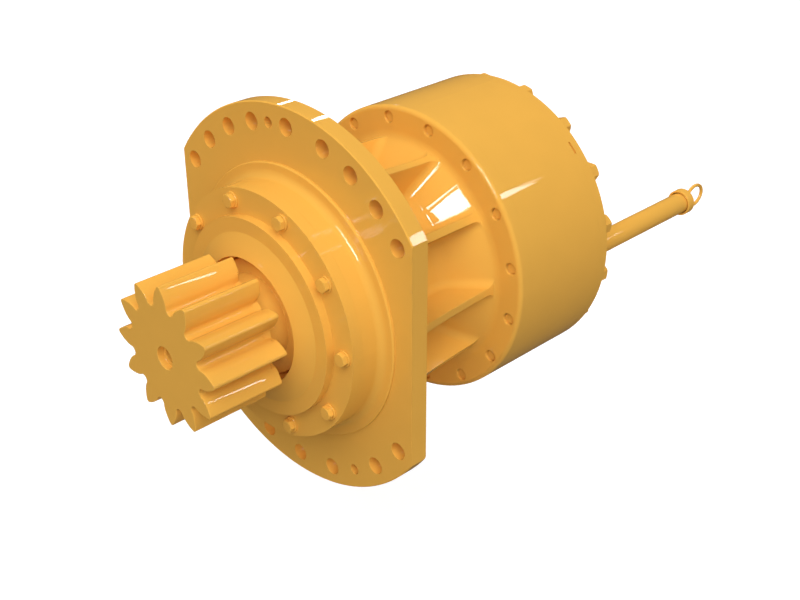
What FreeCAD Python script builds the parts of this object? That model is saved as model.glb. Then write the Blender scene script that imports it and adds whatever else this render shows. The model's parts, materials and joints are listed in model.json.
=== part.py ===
import FreeCAD, Part
import math
import os

# Swing drive: a two-stage planetary gearbox on a ribbed flange housing, with a pinion in front.
# All sizes are millimetres. The drive axis is Y, the pinion points to -Y, and +Z is up.
# The origin is the centre of the flange's mounting face.

# Fits and small gaps
seat_gap = 0.02
running_gap = 0.08
side_gap = 0.3
thread_gap = 0.1
bolt_hole_gap = 0.75

# Mounting flange
flange_thickness = 28.0
flange_radius = 288.4
flange_flat_cut = 53.1
flange_bolt_edge = 28.4
flange_hole_radius = 13.0
flange_top_angles = (0.0, 16.0, 28.5, 41.0, 53.5)
flange_bottom_angles = (0.0, 16.0, 39.0, 53.5)
dowel_hole_radius = 8.0
dowel_top_angle = -8.0
dowel_bottom_angle = 27.5
flange_edge_chamfer = 1.5

# Pilot pad and nose
pilot_radius = 205.0
pilot_height = 4.5
pilot_chamfer = 1.5
pilot_step = 21.4
nose_fillet = 11.0
nose_front = -38.0

# Bearing tube, cone and ribs of the housing
tube_radius = 124.0
tube_wall = 32.0
cone_end_radius = 179.6
cone_inner_gap = 26.6
cone_blend = 30.0
drum_face_fillet = 20.0
rib_count = 10
rib_thickness = 12.0
rib_root_fillet = 12.0
rib_foot_radius = 194.0
rib_foot_fillet = 11.0
rib_tip_inset = 10.2
rib_hollow = 2.3

# Gear drum: housing flange, ring gear and rear cover, held by long bolts.
# The shares are of the drum's wall, from the bottom of the tooth spaces to the outside.
drum_radius = 225.4
drum_edge_radius = 6.5
drum_flange_thickness = 24.7
ring_front_gap = 4.7
cover_inner_gap = 14.0
cover_thickness = 18.65
cover_chamfer = 2.0
spigot_share = 0.1454
spigot_length = 3.0
spigot_depth_gap = 0.5
housing_mouth_gap = 3.5
cover_spigot_wall = 15.0
cover_bolt_count = 16
cover_bolt_share = 0.6277
cover_bolt_radius = 8.0
cover_bolt_head_flats = 24.0
cover_bolt_head_height = 10.0
cover_bolt_end_depth = 3.0
cover_bolt_mouth_radius = 9.0
cover_washer_radius = 15.0
cover_washer_thickness = 3.0
seal_groove_share = 0.23
seal_width = 4.0
seal_height = 2.5
pry_slot_angle = 45.0
pry_slot_width = 20.0
pry_slot_height = 4.0
pry_slot_depth = 6.0

# Bearing retainer on the nose
retainer_thickness = 18.0
retainer_spigot_length = 4.0
retainer_step_gap = 8.3
retainer_step_height = 13.0
retainer_cone_width = 21.0
retainer_cone_height = 11.0
retainer_mouth_gap = 8.0
retainer_seal_gap = 5.0
retainer_bolt_count = 10
retainer_bolt_edge = 17.3
retainer_bolt_radius = 6.0
retainer_bolt_length = 46.0
retainer_bolt_flats = 18.5
retainer_bolt_head_height = 7.5
retainer_washer_radius = 12.0
retainer_washer_thickness = 2.5
tapped_hole_spare = 2.0

# Shaft seal
shaft_seal_depth = 15.0
shaft_seal_width = 15.0
shaft_seal_wall = 3.0
shaft_seal_lead = 4.0

# Pinion and its shaft
pinion_teeth = 12
pinion_module = 14.0
pinion_shift = 0.5
pinion_addendum = 1.5
pinion_dedendum = 0.75
pinion_tip_crown = 1.0
pinion_end_gap = 21.4
pinion_face_width = 120.2
pinion_run_out = 13.0
collar_radius = 85.0
centre_hole_radius = 18.3
centre_hole_depth = 10.0
centre_bore_radius = 13.0
centre_bore_depth = 70.0
shaft_waist_gap = 5.0
shaft_step_relief = 1.0
spline_count = 10
spline_minor_radius = 46.0
spline_major_radius = 50.0
spline_width = 12.0
spline_gap = 0.05

# Lower and upper roller bearings; the roller share is of the height between bore and outside
lower_bore_radius = 65.0
lower_outer_radius = 115.0
lower_width = 60.0
upper_bore_radius = 55.0
upper_outer_radius = 100.0
upper_width = 53.0
upper_start = 122.0
roller_share = 0.25
roller_count = 10
race_lip_width = 6.0
race_lip_share = 0.6
cage_thickness = 6.0
cage_pocket_gap = 0.4
spacer_outer_radius = 74.0
lock_washer_thickness = 3.0
locknut_thickness = 17.0
locknut_radius = 72.0
locknut_slots = 4
locknut_slot_width = 10.0
locknut_slot_depth = 5.0
hub_shoulder_gap = 3.0

# Planetary stages: both stages share the ring gear and the tooth numbers
gear_module = 7.5
ring_teeth = 45
planet_teeth = 15
sun_teeth = 15
planet_count = 3
first_planet_angle = 90.0
pressure_angle = 20.0
gear_addendum = 0.95
gear_dedendum = 1.15
ring_addendum = 0.70
ring_dedendum = 1.25
tooth_thinning = 0.4
ring_tooth_overrun = 3.0
flank_steps = 2
pinion_flank_steps = 4
thrust_washer_thickness = 2.4
thrust_washer_rim = 8.0
bush_wall = 6.0

# Output stage
carrier_hub_radius = 75.0
carrier_hub_length = 38.0
carrier_gap = 13.5
carrier_front_plate = 20.0
carrier_rear_plate = 12.0
carrier_eye_gap = 4.6
carrier_web_inner = 95.0
carrier_web_angle = 24.0
output_planet_width = 58.6
output_pin_radius = 22.0
output_pin_seat = 18.0
end_plate_radius = 62.0
end_plate_thickness = 8.0
end_bolt_count = 3
end_bolt_circle = 28.0
end_bolt_radius = 6.0
end_bolt_length = 34.0
end_bolt_flats = 18.0
end_bolt_head_height = 7.5
sun_end_gap = 12.0

# Input stage
stage_gap = 6.0
input_carrier_gap = 18.5
input_carrier_thickness = 14.0
input_planet_width = 36.0
input_pin_radius = 18.0
input_pin_seat = 12.0
pin_ring_thickness = 2.0
pin_ring_width = 4.0
pin_end_spare = 2.6
sun_spline_gap = 0.1
input_sun_gap = 2.0
sleeve_radius = 40.0
sleeve_setback = 18.0
motor_spline_minor = 20.0
motor_spline_major = 23.0
motor_spline_width = 6.0
motor_spline_depth = 54.0

# Rear cover: motor face, dipstick seat and filler plug
motor_boss_radius = 140.0
motor_boss_draft = 2.0
motor_boss_height = 11.35
motor_pilot_radius = 76.2
motor_pilot_depth = 14.0
motor_shaft_hole_radius = 50.0
motor_bolt_circle = 114.3
motor_bolt_count = 4
motor_bolt_hole_radius = 8.75
motor_bolt_hole_depth = 26.0
tube_boss_wall = 7.0
tube_boss_height = 15.35
tube_seat_depth = 12.0
plug_angle = 172.0
plug_radius = 13.0
plug_length = 18.0
plug_flats = 30.0
plug_head_height = 12.0
plug_washer_radius = 20.0
plug_washer_thickness = 2.4

# Dipstick and its tube
dipstick_inset = 43.8
dipstick_z = -24.0
dipstick_tube_radius = 17.0
dipstick_tube_wall = 3.4
dipstick_tube_reach = 280.0
tube_nut_rim = 6.0
tube_nut_height = 12.0
cap_skirt_gap = 1.3
cap_skirt_wall = 3.2
cap_skirt_length = 14.0
cap_rim_height = 11.0
cap_dome_height = 7.0
stopper_length = 20.0
rod_radius = 3.0
rod_reach = 17.0
rod_seat_depth = 10.0
eye_wire_radius = 2.5
eye_radius = 12.5
eye_height = 24.3
eye_leg_spacing = 18.0
eye_leg_depth = 2.0

# Places along the axis that follow from the sizes above, from the nose to the rear
retainer_face = nose_front - retainer_thickness
retainer_front = retainer_face - retainer_step_height - retainer_cone_height
shaft_seal_front = retainer_face - shaft_seal_lead
pinion_end = retainer_front - pinion_end_gap
pinion_front = pinion_end - pinion_face_width
lower_start = nose_front + retainer_spigot_length
lower_end = lower_start + lower_width
upper_end = upper_start + upper_width
locknut_start = upper_end + lock_washer_thickness
locknut_end = locknut_start + locknut_thickness
hub_start = locknut_end + hub_shoulder_gap
front_plate_start = hub_start + carrier_hub_length
front_plate_end = front_plate_start + carrier_front_plate
spline_end = front_plate_end - end_plate_thickness
output_planet_start = front_plate_end + thrust_washer_thickness + side_gap
output_planet_end = output_planet_start + output_planet_width
rear_plate_start = output_planet_end + side_gap + thrust_washer_thickness
rear_plate_end = rear_plate_start + carrier_rear_plate
input_plate_start = rear_plate_end + stage_gap
input_plate_end = input_plate_start + input_carrier_thickness
input_planet_start = input_plate_end + thrust_washer_thickness + side_gap
input_planet_end = input_planet_start + input_planet_width
input_washer_end = input_planet_end + side_gap + thrust_washer_thickness
pin_ring_end = input_washer_end + pin_ring_thickness
input_pin_end = pin_ring_end + pin_end_spare
drum_joint = output_planet_start - ring_front_gap
drum_front = drum_joint - drum_flange_thickness
cover_start = input_pin_end + cover_inner_gap
cover_end = cover_start + cover_thickness
motor_face = cover_end + motor_boss_height
sleeve_end = motor_face - sleeve_setback
tube_boss_end = cover_end + tube_boss_height
dipstick_tube_end = tube_boss_end + dipstick_tube_reach
cap_front = dipstick_tube_end - cap_skirt_length
cap_rim = dipstick_tube_end + cap_rim_height
cap_top = cap_rim + cap_dome_height
eye_centre = cap_top + eye_height
eye_leg_start = cap_rim - eye_leg_depth
rod_end = cover_start - rod_reach

# Radii of the gears, which follow from the tooth numbers
ring_pitch_radius = ring_teeth * gear_module / 2
ring_tip_radius = ring_pitch_radius - ring_addendum * gear_module
ring_space_radius = ring_pitch_radius + ring_dedendum * gear_module
planet_pitch_radius = planet_teeth * gear_module / 2
sun_pitch_radius = sun_teeth * gear_module / 2
sun_tip_radius = sun_pitch_radius + gear_addendum * gear_module
planet_distance = sun_pitch_radius + planet_pitch_radius
planet_angles = [first_planet_angle + k * 360 / planet_count for k in range(planet_count)]
pinion_pitch_radius = pinion_teeth * pinion_module / 2
pinion_tip_radius = pinion_pitch_radius + pinion_addendum * pinion_module
pinion_root_radius = pinion_pitch_radius - pinion_dedendum * pinion_module

# Other radii and places that follow from their neighbours
flange_flat_distance = flange_radius - flange_flat_cut
flange_bolt_circle = flange_radius - flange_bolt_edge
nose_radius = pilot_radius - pilot_step
cone_start = drum_front - cone_end_radius + tube_radius
rib_tip_radius = cone_end_radius + drum_face_fillet * math.tan(math.radians(22.5)) - rib_tip_inset
drum_wall = drum_radius - ring_space_radius
spigot_radius = ring_space_radius + spigot_share * drum_wall
seal_groove_radius = ring_space_radius + seal_groove_share * drum_wall
cover_bolt_circle = ring_space_radius + cover_bolt_share * drum_wall
housing_mouth_radius = ring_tip_radius - housing_mouth_gap
carrier_radius = ring_tip_radius - carrier_gap
carrier_eye_radius = sun_tip_radius + carrier_eye_gap
input_carrier_radius = ring_tip_radius - input_carrier_gap
retainer_bolt_circle = nose_radius - retainer_bolt_edge
retainer_step_radius = retainer_bolt_circle - retainer_washer_radius - retainer_step_gap
retainer_cone_radius = retainer_step_radius - retainer_cone_width
retainer_mouth_radius = collar_radius + retainer_mouth_gap
retainer_seal_radius = lower_outer_radius + retainer_seal_gap
shaft_seal_radius = collar_radius + shaft_seal_depth
lower_roller_radius = roller_share * (lower_outer_radius - lower_bore_radius)
upper_roller_radius = roller_share * (upper_outer_radius - upper_bore_radius)
dipstick_x = cover_bolt_circle - dipstick_inset
dipstick_tube_bore = dipstick_tube_radius - dipstick_tube_wall
tube_boss_radius = dipstick_tube_radius + tube_boss_wall
tube_nut_flats = 2 * (dipstick_tube_radius + tube_nut_rim)
cap_skirt_bore = dipstick_tube_radius + cap_skirt_gap
cap_radius = cap_skirt_bore + cap_skirt_wall
top_direction = 90.0
bottom_direction = -90.0

origin = FreeCAD.Vector(0, 0, 0)
drive_axis = FreeCAD.Vector(0, 1, 0)


def polar(radius, along, degrees=0.0):
    """Point at a radius from the drive axis, turned from +X towards +Z."""
    angle = math.radians(degrees)
    return FreeCAD.Vector(radius * math.cos(angle), along, radius * math.sin(angle))


def turned_by(shape, degrees):
    """Copy of a shape turned about the drive axis from +X towards +Z."""
    return shape.rotated(origin, drive_axis, -degrees)


def pattern(shape, count, first=0.0):
    """Copies of a shape evenly spaced round the drive axis."""
    return [turned_by(shape, first + k * 360 / count) for k in range(count)]


def group(shapes):
    """Separate solids kept together as one node."""
    return Part.makeCompound(shapes)


def outline(corners):
    """Closed wire of (radius, along) corners; a pair of corners is an arc through the first."""
    edges = []
    here = FreeCAD.Vector(corners[0][0], corners[0][1], 0)
    for corner in corners[1:] + corners[:1]:
        if isinstance(corner[0], tuple):
            through = FreeCAD.Vector(corner[0][0], corner[0][1], 0)
            end = FreeCAD.Vector(corner[1][0], corner[1][1], 0)
            edges.append(Part.Arc(here, through, end).toShape())
        else:
            end = FreeCAD.Vector(corner[0], corner[1], 0)
            edges.append(Part.LineSegment(here, end).toShape())
        here = end
    return Part.Wire(edges)


def turned(corners):
    """Solid turned about the drive axis from an outline of (radius, along) corners."""
    return Part.Face(outline(corners)).revolve(origin, drive_axis, 360)


def ring(inner, outer, start, end):
    """Plain ring between two radii and two places along the axis."""
    return turned([(inner, start), (outer, start), (outer, end), (inner, end)])


def cylinder(radius, start, end, place=None):
    """Cylinder along the drive axis, centred on a place given as a vector."""
    centre = place or origin
    base = FreeCAD.Vector(centre.x, start, centre.z)
    return Part.makeCylinder(radius, end - start, base, drive_axis)


def prism(points, start, end):
    """Straight-sided solid along the drive axis from points given at any place on it."""
    ordered = [FreeCAD.Vector(p.x, start, p.z) for p in points]
    wire = Part.makePolygon(ordered + ordered[:1])
    return Part.Face(wire).extrude(FreeCAD.Vector(0, end - start, 0))


def hexagon(across_flats, start, end, place=None):
    """Hexagonal prism along the drive axis."""
    centre = place or origin
    corner_radius = across_flats / 2 / math.cos(math.radians(30))
    corners = [centre + polar(corner_radius, 0, 60 * k) for k in range(6)]
    return prism(corners, start, end)


def quarter_point(centre_radius, centre_along, size, degrees):
    """Point on an arc in the (radius, along) plane."""
    angle = math.radians(degrees)
    return (centre_radius + size * math.cos(angle), centre_along + size * math.sin(angle))


def involute_turn(radius, base_radius):
    """How far round, in degrees, an involute has turned when it reaches a radius."""
    slope = math.acos(min(1.0, base_radius / radius))
    return math.degrees(math.tan(slope) - slope)


def tooth_shape(teeth, module, tip_radius, root_radius, thickening, steps, shift=0.0):
    """One flank of a tooth: points (radius, half width in degrees) from its foot to its tip."""
    pitch_radius = teeth * module / 2
    base_radius = pitch_radius * math.cos(math.radians(pressure_angle))
    foot_radius = max(base_radius, root_radius)
    half_width = math.degrees(math.pi / 2 + 2 * shift * math.tan(math.radians(pressure_angle))) / teeth
    half_width += math.degrees(thickening / 2 / pitch_radius) + involute_turn(pitch_radius, base_radius)
    points = []
    for k in range(steps + 1):
        radius = foot_radius + (tip_radius - foot_radius) * k / steps
        points.append((radius, half_width - involute_turn(radius, base_radius)))
    return points


def toothed_bar(teeth, tip_radius, root_radius, thickening, first_tooth, start, end):
    """Solid with straight-sided flank facets; a tooth stands at the first_tooth angle."""
    flank = tooth_shape(teeth, gear_module, tip_radius, root_radius, thickening, flank_steps)
    if root_radius < flank[0][0]:
        flank = [(root_radius, flank[0][1])] + flank
    points = []
    for k in range(teeth):
        centre = first_tooth + k * 360 / teeth
        points += [polar(radius, 0, centre - width) for radius, width in flank]
        points += [polar(radius, 0, centre + width) for radius, width in reversed(flank)]
    return prism(points, start, end)


def gear_bar(teeth, first_tooth, start, end, grow=0.0):
    """External gear of the planetary stages; grow enlarges it into its own splined bore."""
    pitch_radius = teeth * gear_module / 2
    tip = pitch_radius + gear_addendum * gear_module + grow
    root = pitch_radius - gear_dedendum * gear_module + grow
    return toothed_bar(teeth, tip, root, 2 * grow - tooth_thinning, first_tooth, start, end)


def splined_bar(minor, major, width, start, end, gap=0.0):
    """Bar with straight splines; gap enlarges it into the bore that takes it."""
    bar = cylinder(minor + gap, start, end)
    half = width / 2 + gap
    corner = FreeCAD.Vector(minor - half, start, -half)
    key = Part.makeBox(major + gap - minor + half, end - start, 2 * half, corner)
    return bar.fuse(pattern(key, spline_count)).removeSplitter()


def cast_fillet_edges(cutter, side_normal):
    """Edges of a rib pocket that the casting rounds: beside the ribs and round the floor."""
    chosen = []
    for edge in cutter.Edges:
        middle = edge.valueAt((edge.FirstParameter + edge.LastParameter) / 2)
        mirrored = FreeCAD.Vector(middle.x, 0, -middle.z)
        on_side = min(abs(p.dot(side_normal) - rib_thickness / 2) for p in (middle, mirrored)) < 0.01
        on_floor = abs(middle.y - flange_thickness) < 0.01
        inside = math.hypot(middle.x, middle.z) < rib_foot_radius + rib_foot_fillet
        if inside and middle.y < rib_tip_along() - 0.01 and (on_side or on_floor):
            chosen.append(edge)
    return chosen


def cone_radius(along):
    """Outer radius of the housing's 45 degree cone."""
    return tube_radius + along - cone_start


def face_fillet_centre():
    """Centre of the fillet between the cone and the drum's front face."""
    meet_radius = cone_radius(drum_front)
    reach = drum_face_fillet * math.tan(math.radians(22.5))
    return (meet_radius + reach, drum_front - drum_face_fillet)


def rib_tip_along():
    """Where the ribs' outer edge runs into the fillet at the drum's front face."""
    centre_radius, centre_along = face_fillet_centre()
    offset = centre_radius - rib_tip_radius
    return centre_along + math.sqrt(drum_face_fillet ** 2 - offset ** 2)


def rib_pocket():
    """The hollow between two ribs, as a solid lying round the +X direction."""
    half_step = math.radians(180 / rib_count)
    side_normal = FreeCAD.Vector(math.sin(half_step), 0, math.cos(half_step))
    outer = rib_foot_radius + 3 * rib_foot_fillet
    centre_radius, centre_along = face_fillet_centre()
    reach = cone_blend * math.tan(math.radians(22.5))
    blend_centre = tube_radius + cone_blend
    tip_angle = math.degrees(math.acos((rib_tip_radius - centre_radius) / drum_face_fillet))
    hollow = turned([
        (tube_radius, flange_thickness),
        (tube_radius, cone_start - reach),
        (quarter_point(blend_centre, cone_start - reach, cone_blend, 157.5),
         quarter_point(blend_centre, cone_start - reach, cone_blend, 135)),
        quarter_point(centre_radius, centre_along, drum_face_fillet, 135),
        (quarter_point(centre_radius, centre_along, drum_face_fillet, (135 + tip_angle) / 2),
         (rib_tip_radius, rib_tip_along())),
        (outer, rib_tip_along()),
        (outer, flange_thickness),
    ])
    apex = rib_thickness / 2 / math.sin(half_step)
    far = 2 * outer
    spread = far * math.tan(half_step)
    wedge = prism([FreeCAD.Vector(apex, 0, 0),
                   FreeCAD.Vector(apex + far, 0, spread),
                   FreeCAD.Vector(apex + far, 0, -spread)], flange_thickness, drum_front)
    cutter = hollow.common(wedge)
    return cutter.makeFillet(rib_root_fillet, cast_fillet_edges(cutter, side_normal))


def flange_plate():
    """Round flange plate with its two upright flats, chamfered round both faces."""
    chamfer = flange_edge_chamfer
    disc = turned([
        (tube_radius, 0), (flange_radius - chamfer, 0), (flange_radius, chamfer),
        (flange_radius, flange_thickness - chamfer),
        (flange_radius - chamfer, flange_thickness), (tube_radius, flange_thickness),
    ])
    half = flange_flat_distance
    slab = prism([FreeCAD.Vector(-half, 0, -flange_radius), FreeCAD.Vector(half, 0, -flange_radius),
                  FreeCAD.Vector(half, 0, flange_radius), FreeCAD.Vector(-half, 0, flange_radius)],
                 0, flange_thickness)
    return disc.common(slab)


def flange_holes():
    """Mounting holes and the two dowel holes of the flange."""
    angles = []
    for offset in flange_top_angles:
        angles += [top_direction - offset, top_direction + offset]
    for offset in flange_bottom_angles:
        angles += [bottom_direction - offset, bottom_direction + offset]
    holes = [cylinder(flange_hole_radius, -1, flange_thickness + 1, polar(flange_bolt_circle, 0, angle))
             for angle in sorted(set(angles))]
    for angle in (top_direction - dowel_top_angle, bottom_direction + dowel_bottom_angle):
        place = polar(flange_bolt_circle, 0, angle)
        holes.append(cylinder(dowel_hole_radius, -1, flange_thickness + 1, place))
    return holes


def housing():
    """Cast housing: nose, flange, bearing tube, cone, ribs and the front of the drum."""
    bore = tube_radius - tube_wall
    middle = flange_thickness / 2
    corner = nose_fillet * (1 - math.sqrt(0.5))
    nose = turned([
        (lower_outer_radius, nose_front),
        (nose_radius, nose_front),
        (nose_radius, -pilot_height - nose_fillet),
        ((nose_radius + corner, -pilot_height - corner), (nose_radius + nose_fillet, -pilot_height)),
        (pilot_radius - pilot_chamfer, -pilot_height),
        (pilot_radius, -pilot_height + pilot_chamfer),
        (pilot_radius, middle),
        (lower_outer_radius, middle),
    ])
    centre_radius, centre_along = face_fillet_centre()
    tip_angle = math.degrees(math.acos((rib_tip_radius - centre_radius) / drum_face_fillet))
    foot_end = flange_thickness + rib_foot_fillet
    foot_corner = rib_foot_fillet * (1 - math.sqrt(0.5))
    edge_corner = drum_edge_radius * (1 - math.sqrt(0.5))
    rib_middle = ((rib_foot_radius + rib_tip_radius) / 2 - rib_hollow, (foot_end + rib_tip_along()) / 2)
    mouth_start = housing_mouth_radius - (cone_radius(0) - cone_inner_gap)
    cone_inner_start = upper_outer_radius - (cone_radius(0) - cone_inner_gap)
    rear = turned([
        (bore, middle),
        (pilot_radius, middle),
        (rib_foot_radius + rib_foot_fillet, flange_thickness),
        ((rib_foot_radius + foot_corner, flange_thickness + foot_corner), (rib_foot_radius, foot_end)),
        (rib_middle, (rib_tip_radius, rib_tip_along())),
        (quarter_point(centre_radius, centre_along, drum_face_fillet, (90 + tip_angle) / 2),
         (centre_radius, drum_front)),
        (drum_radius - drum_edge_radius, drum_front),
        ((drum_radius - edge_corner, drum_front + edge_corner),
         (drum_radius, drum_front + drum_edge_radius)),
        (drum_radius, drum_joint),
        (spigot_radius - seat_gap, drum_joint),
        (spigot_radius - seat_gap, drum_joint + spigot_length),
        (housing_mouth_radius, drum_joint + spigot_length),
        (housing_mouth_radius, mouth_start),
        (upper_outer_radius, cone_inner_start),
        (upper_outer_radius, upper_start),
        (bore, upper_start),
    ])
    casting = nose.fuse([flange_plate(), rear]).removeSplitter()
    tools = pattern(rib_pocket(), rib_count, 180 / rib_count)
    tools.append(cylinder(lower_outer_radius, nose_front - 1, lower_end))
    tools.append(ring(seal_groove_radius, seal_groove_radius + seal_width,
                      drum_joint - seal_height, drum_joint + 1))
    tools += flange_holes()
    tapped_end = lower_start - retainer_spigot_length + retainer_bolt_length - retainer_thickness
    tapped = cylinder(retainer_bolt_radius + thread_gap, nose_front - 1,
                      tapped_end - retainer_washer_thickness + tapped_hole_spare,
                      polar(retainer_bolt_circle, 0))
    tools += pattern(tapped, retainer_bolt_count)
    bolt_place = polar(cover_bolt_circle, 0)
    mouth_end = drum_front + cover_bolt_end_depth
    thread = cylinder(cover_bolt_radius + thread_gap, drum_front - 1, drum_joint + 1, bolt_place)
    mouth = cylinder(cover_bolt_mouth_radius, drum_front - 1, mouth_end, bolt_place)
    tools += pattern(thread.fuse(mouth), cover_bolt_count, 180 / cover_bolt_count)
    return casting.cut(tools)


def bearing_retainer():
    """Cover on the nose that holds the lower bearing and the shaft seal."""
    step_face = retainer_face - retainer_step_height
    spigot_end = nose_front + retainer_spigot_length
    body = turned([
        (retainer_mouth_radius, retainer_front),
        (retainer_cone_radius, step_face),
        (retainer_step_radius, step_face),
        (retainer_step_radius, retainer_face),
        (nose_radius, retainer_face),
        (nose_radius, nose_front),
        (lower_outer_radius - seat_gap, nose_front),
        (lower_outer_radius - seat_gap, spigot_end),
        (shaft_seal_radius, spigot_end),
        (shaft_seal_radius, shaft_seal_front),
        (retainer_mouth_radius, shaft_seal_front),
    ])
    groove = ring(retainer_seal_radius, retainer_seal_radius + seal_width,
                  nose_front - seal_height, nose_front + 1)
    hole = cylinder(retainer_bolt_radius + bolt_hole_gap, retainer_face - 1, nose_front + 1,
                    polar(retainer_bolt_circle, 0))
    return body.cut([groove] + pattern(hole, retainer_bolt_count))


def bolt(radius, flats, head_height, length, seat, place, towards):
    """Hexagon bolt; seat is the face under its head, and towards is the way the shank runs."""
    shank_end = seat + towards * length
    head_end = seat - towards * head_height
    shank = cylinder(radius, min(seat, shank_end), max(seat, shank_end), place)
    head = hexagon(flats, min(seat, head_end), max(seat, head_end), place)
    return shank.fuse(head)


def retainer_bolts():
    """Ten bolts through the retainer into the nose."""
    seat = retainer_face - retainer_washer_thickness
    one = bolt(retainer_bolt_radius, retainer_bolt_flats, retainer_bolt_head_height,
               retainer_bolt_length, seat, polar(retainer_bolt_circle, 0), 1)
    return group(pattern(one, retainer_bolt_count))


def retainer_washers():
    """Washers under the retainer bolts."""
    one = ring(retainer_bolt_radius + thread_gap, retainer_washer_radius,
               retainer_face - retainer_washer_thickness, retainer_face)
    one.translate(polar(retainer_bolt_circle, 0))
    return group(pattern(one, retainer_bolt_count))


def square_seal(radius, start):
    """Face seal that fills its groove."""
    return ring(radius + seat_gap, radius + seal_width - seat_gap, start + seat_gap, start + seal_height)


def shaft_seal():
    """Lip seal between the retainer and the shaft's collar."""
    outer = shaft_seal_radius - seat_gap
    wall = outer - shaft_seal_wall
    front = shaft_seal_front
    back = front + shaft_seal_width
    lip = collar_radius + running_gap
    return turned([
        (outer, front), (outer, back), (wall, back), (wall, front + shaft_seal_wall),
        (collar_radius + 2 * shaft_seal_wall, front + shaft_seal_wall),
        (collar_radius + shaft_seal_wall, back - shaft_seal_wall),
        (lip, back - 2 * shaft_seal_wall),
        (collar_radius + shaft_seal_wall, front),
    ])


def pinion_outline(along):
    """Involute outline of the pinion with round roots and crowned tips."""
    flank_end = pinion_tip_radius - pinion_tip_crown
    flank = tooth_shape(pinion_teeth, pinion_module, flank_end, pinion_root_radius, 0.0,
                        pinion_flank_steps, pinion_shift)
    step = 360 / pinion_teeth
    edges = []
    for k in range(pinion_teeth):
        centre = k * step
        rising = [polar(radius, along, centre - width) for radius, width in flank]
        falling = [polar(radius, along, centre + width) for radius, width in reversed(flank)]
        next_foot = polar(flank[0][0], along, centre + step - flank[0][1])
        for points in (rising, falling):
            curve = Part.BSplineCurve()
            curve.interpolate(points)
            edges.append(curve.toShape())
        tip = polar(pinion_tip_radius, along, centre)
        root = polar(pinion_root_radius, along, centre + step / 2)
        edges.append(Part.Arc(rising[-1], tip, falling[0]).toShape())
        edges.append(Part.Arc(falling[-1], root, next_foot).toShape())
    return Part.Wire(Part.__sortEdges__(edges))


def pinion_shaft():
    """Pinion, seal collar, bearing seats and carrier spline in one forging."""
    teeth = Part.Face(pinion_outline(pinion_front)).extrude(FreeCAD.Vector(0, pinion_face_width, 0))
    waist = lower_bore_radius - shaft_waist_gap
    core = turned([
        (0, pinion_front + centre_bore_depth),
        (pinion_root_radius - 1, pinion_front + centre_bore_depth),
        (pinion_root_radius - 1, pinion_end - pinion_run_out),
        (collar_radius, pinion_end),
        (collar_radius, lower_start),
        (lower_bore_radius, lower_start),
        (lower_bore_radius, lower_end - shaft_step_relief),
        (waist, lower_end - shaft_step_relief),
        (waist, upper_start - shaft_step_relief),
        (upper_bore_radius, upper_start - shaft_step_relief),
        (upper_bore_radius, hub_start),
        (0, hub_start),
    ])
    spline = splined_bar(spline_minor_radius, spline_major_radius, spline_width,
                         hub_start, spline_end)
    shaft = teeth.fuse([core, spline])
    recess = cylinder(centre_hole_radius, pinion_front - 1, pinion_front + centre_hole_depth)
    centre_bore = cylinder(centre_bore_radius, pinion_front, pinion_front + centre_bore_depth)
    thread = cylinder(end_bolt_radius + thread_gap,
                      spline_end - end_bolt_length + end_plate_thickness - tapped_hole_spare,
                      spline_end + 1, polar(end_bolt_circle, 0))
    return shaft.cut([recess, centre_bore] + pattern(thread, end_bolt_count))


def roller_pitch(bore, outer):
    """Radius of the circle on which a bearing's rollers lie."""
    return (bore + outer) / 2


def outer_race(bore, outer, roller_radius, start, width):
    """Outer race with a lip at each end of the rollers."""
    pitch = roller_pitch(bore, outer)
    track = pitch + roller_radius + running_gap
    lip = pitch + race_lip_share * roller_radius
    end = start + width
    return turned([
        (lip, start), (outer - seat_gap, start), (outer - seat_gap, end), (lip, end),
        (lip, end - race_lip_width), (track, end - race_lip_width),
        (track, start + race_lip_width), (lip, start + race_lip_width),
    ])


def inner_race(bore, outer, roller_radius, start, width):
    """Plain inner race on the shaft."""
    track = roller_pitch(bore, outer) - roller_radius - running_gap
    return ring(bore + seat_gap, track, start, start + width)


def bearing_rollers(bore, outer, roller_radius, start, width):
    """Rollers between the races, as separate solids."""
    inset = race_lip_width + side_gap
    one = cylinder(roller_radius, start + inset, start + width - inset,
                   polar(roller_pitch(bore, outer), 0))
    return group(pattern(one, roller_count))


def bearing_cage(bore, outer, roller_radius, start, width):
    """Cage with a pocket for each roller."""
    pitch = roller_pitch(bore, outer)
    blank = ring(pitch - cage_thickness / 2, pitch + cage_thickness / 2, start + side_gap,
                 start + width - side_gap)
    inset = race_lip_width + side_gap - cage_pocket_gap
    pocket = cylinder(roller_radius + cage_pocket_gap, start + inset, start + width - inset,
                      polar(pitch, 0))
    return blank.cut(pattern(pocket, roller_count))


def bearing_locknut():
    """Slotted nut that clamps the inner races and the spacer."""
    body = ring(upper_bore_radius + thread_gap, locknut_radius, locknut_start, locknut_end)
    slot = Part.makeBox(2 * locknut_slot_depth, locknut_thickness + 2, locknut_slot_width,
                        FreeCAD.Vector(locknut_radius - locknut_slot_depth, locknut_start - 1,
                                       -locknut_slot_width / 2))
    return body.cut(pattern(slot, locknut_slots))


def planet_place(degrees):
    """Centre of the planet at an angle."""
    return polar(planet_distance, 0, degrees)


def sector(inner, outer, spread, middle, start, end):
    """Part of a ring that spans some degrees round a middle angle."""
    corners = [polar(inner, start, -spread / 2), polar(outer, start, -spread / 2)]
    far = [polar(outer, start, spread / 2), polar(inner, start, spread / 2)]
    edges = [
        Part.LineSegment(corners[0], corners[1]).toShape(),
        Part.Arc(corners[1], polar(outer, start, 0), far[0]).toShape(),
        Part.LineSegment(far[0], far[1]).toShape(),
        Part.Arc(far[1], polar(inner, start, 0), corners[0]).toShape(),
    ]
    solid = Part.Face(Part.Wire(edges)).extrude(FreeCAD.Vector(0, end - start, 0))
    return turned_by(solid, middle)


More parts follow.
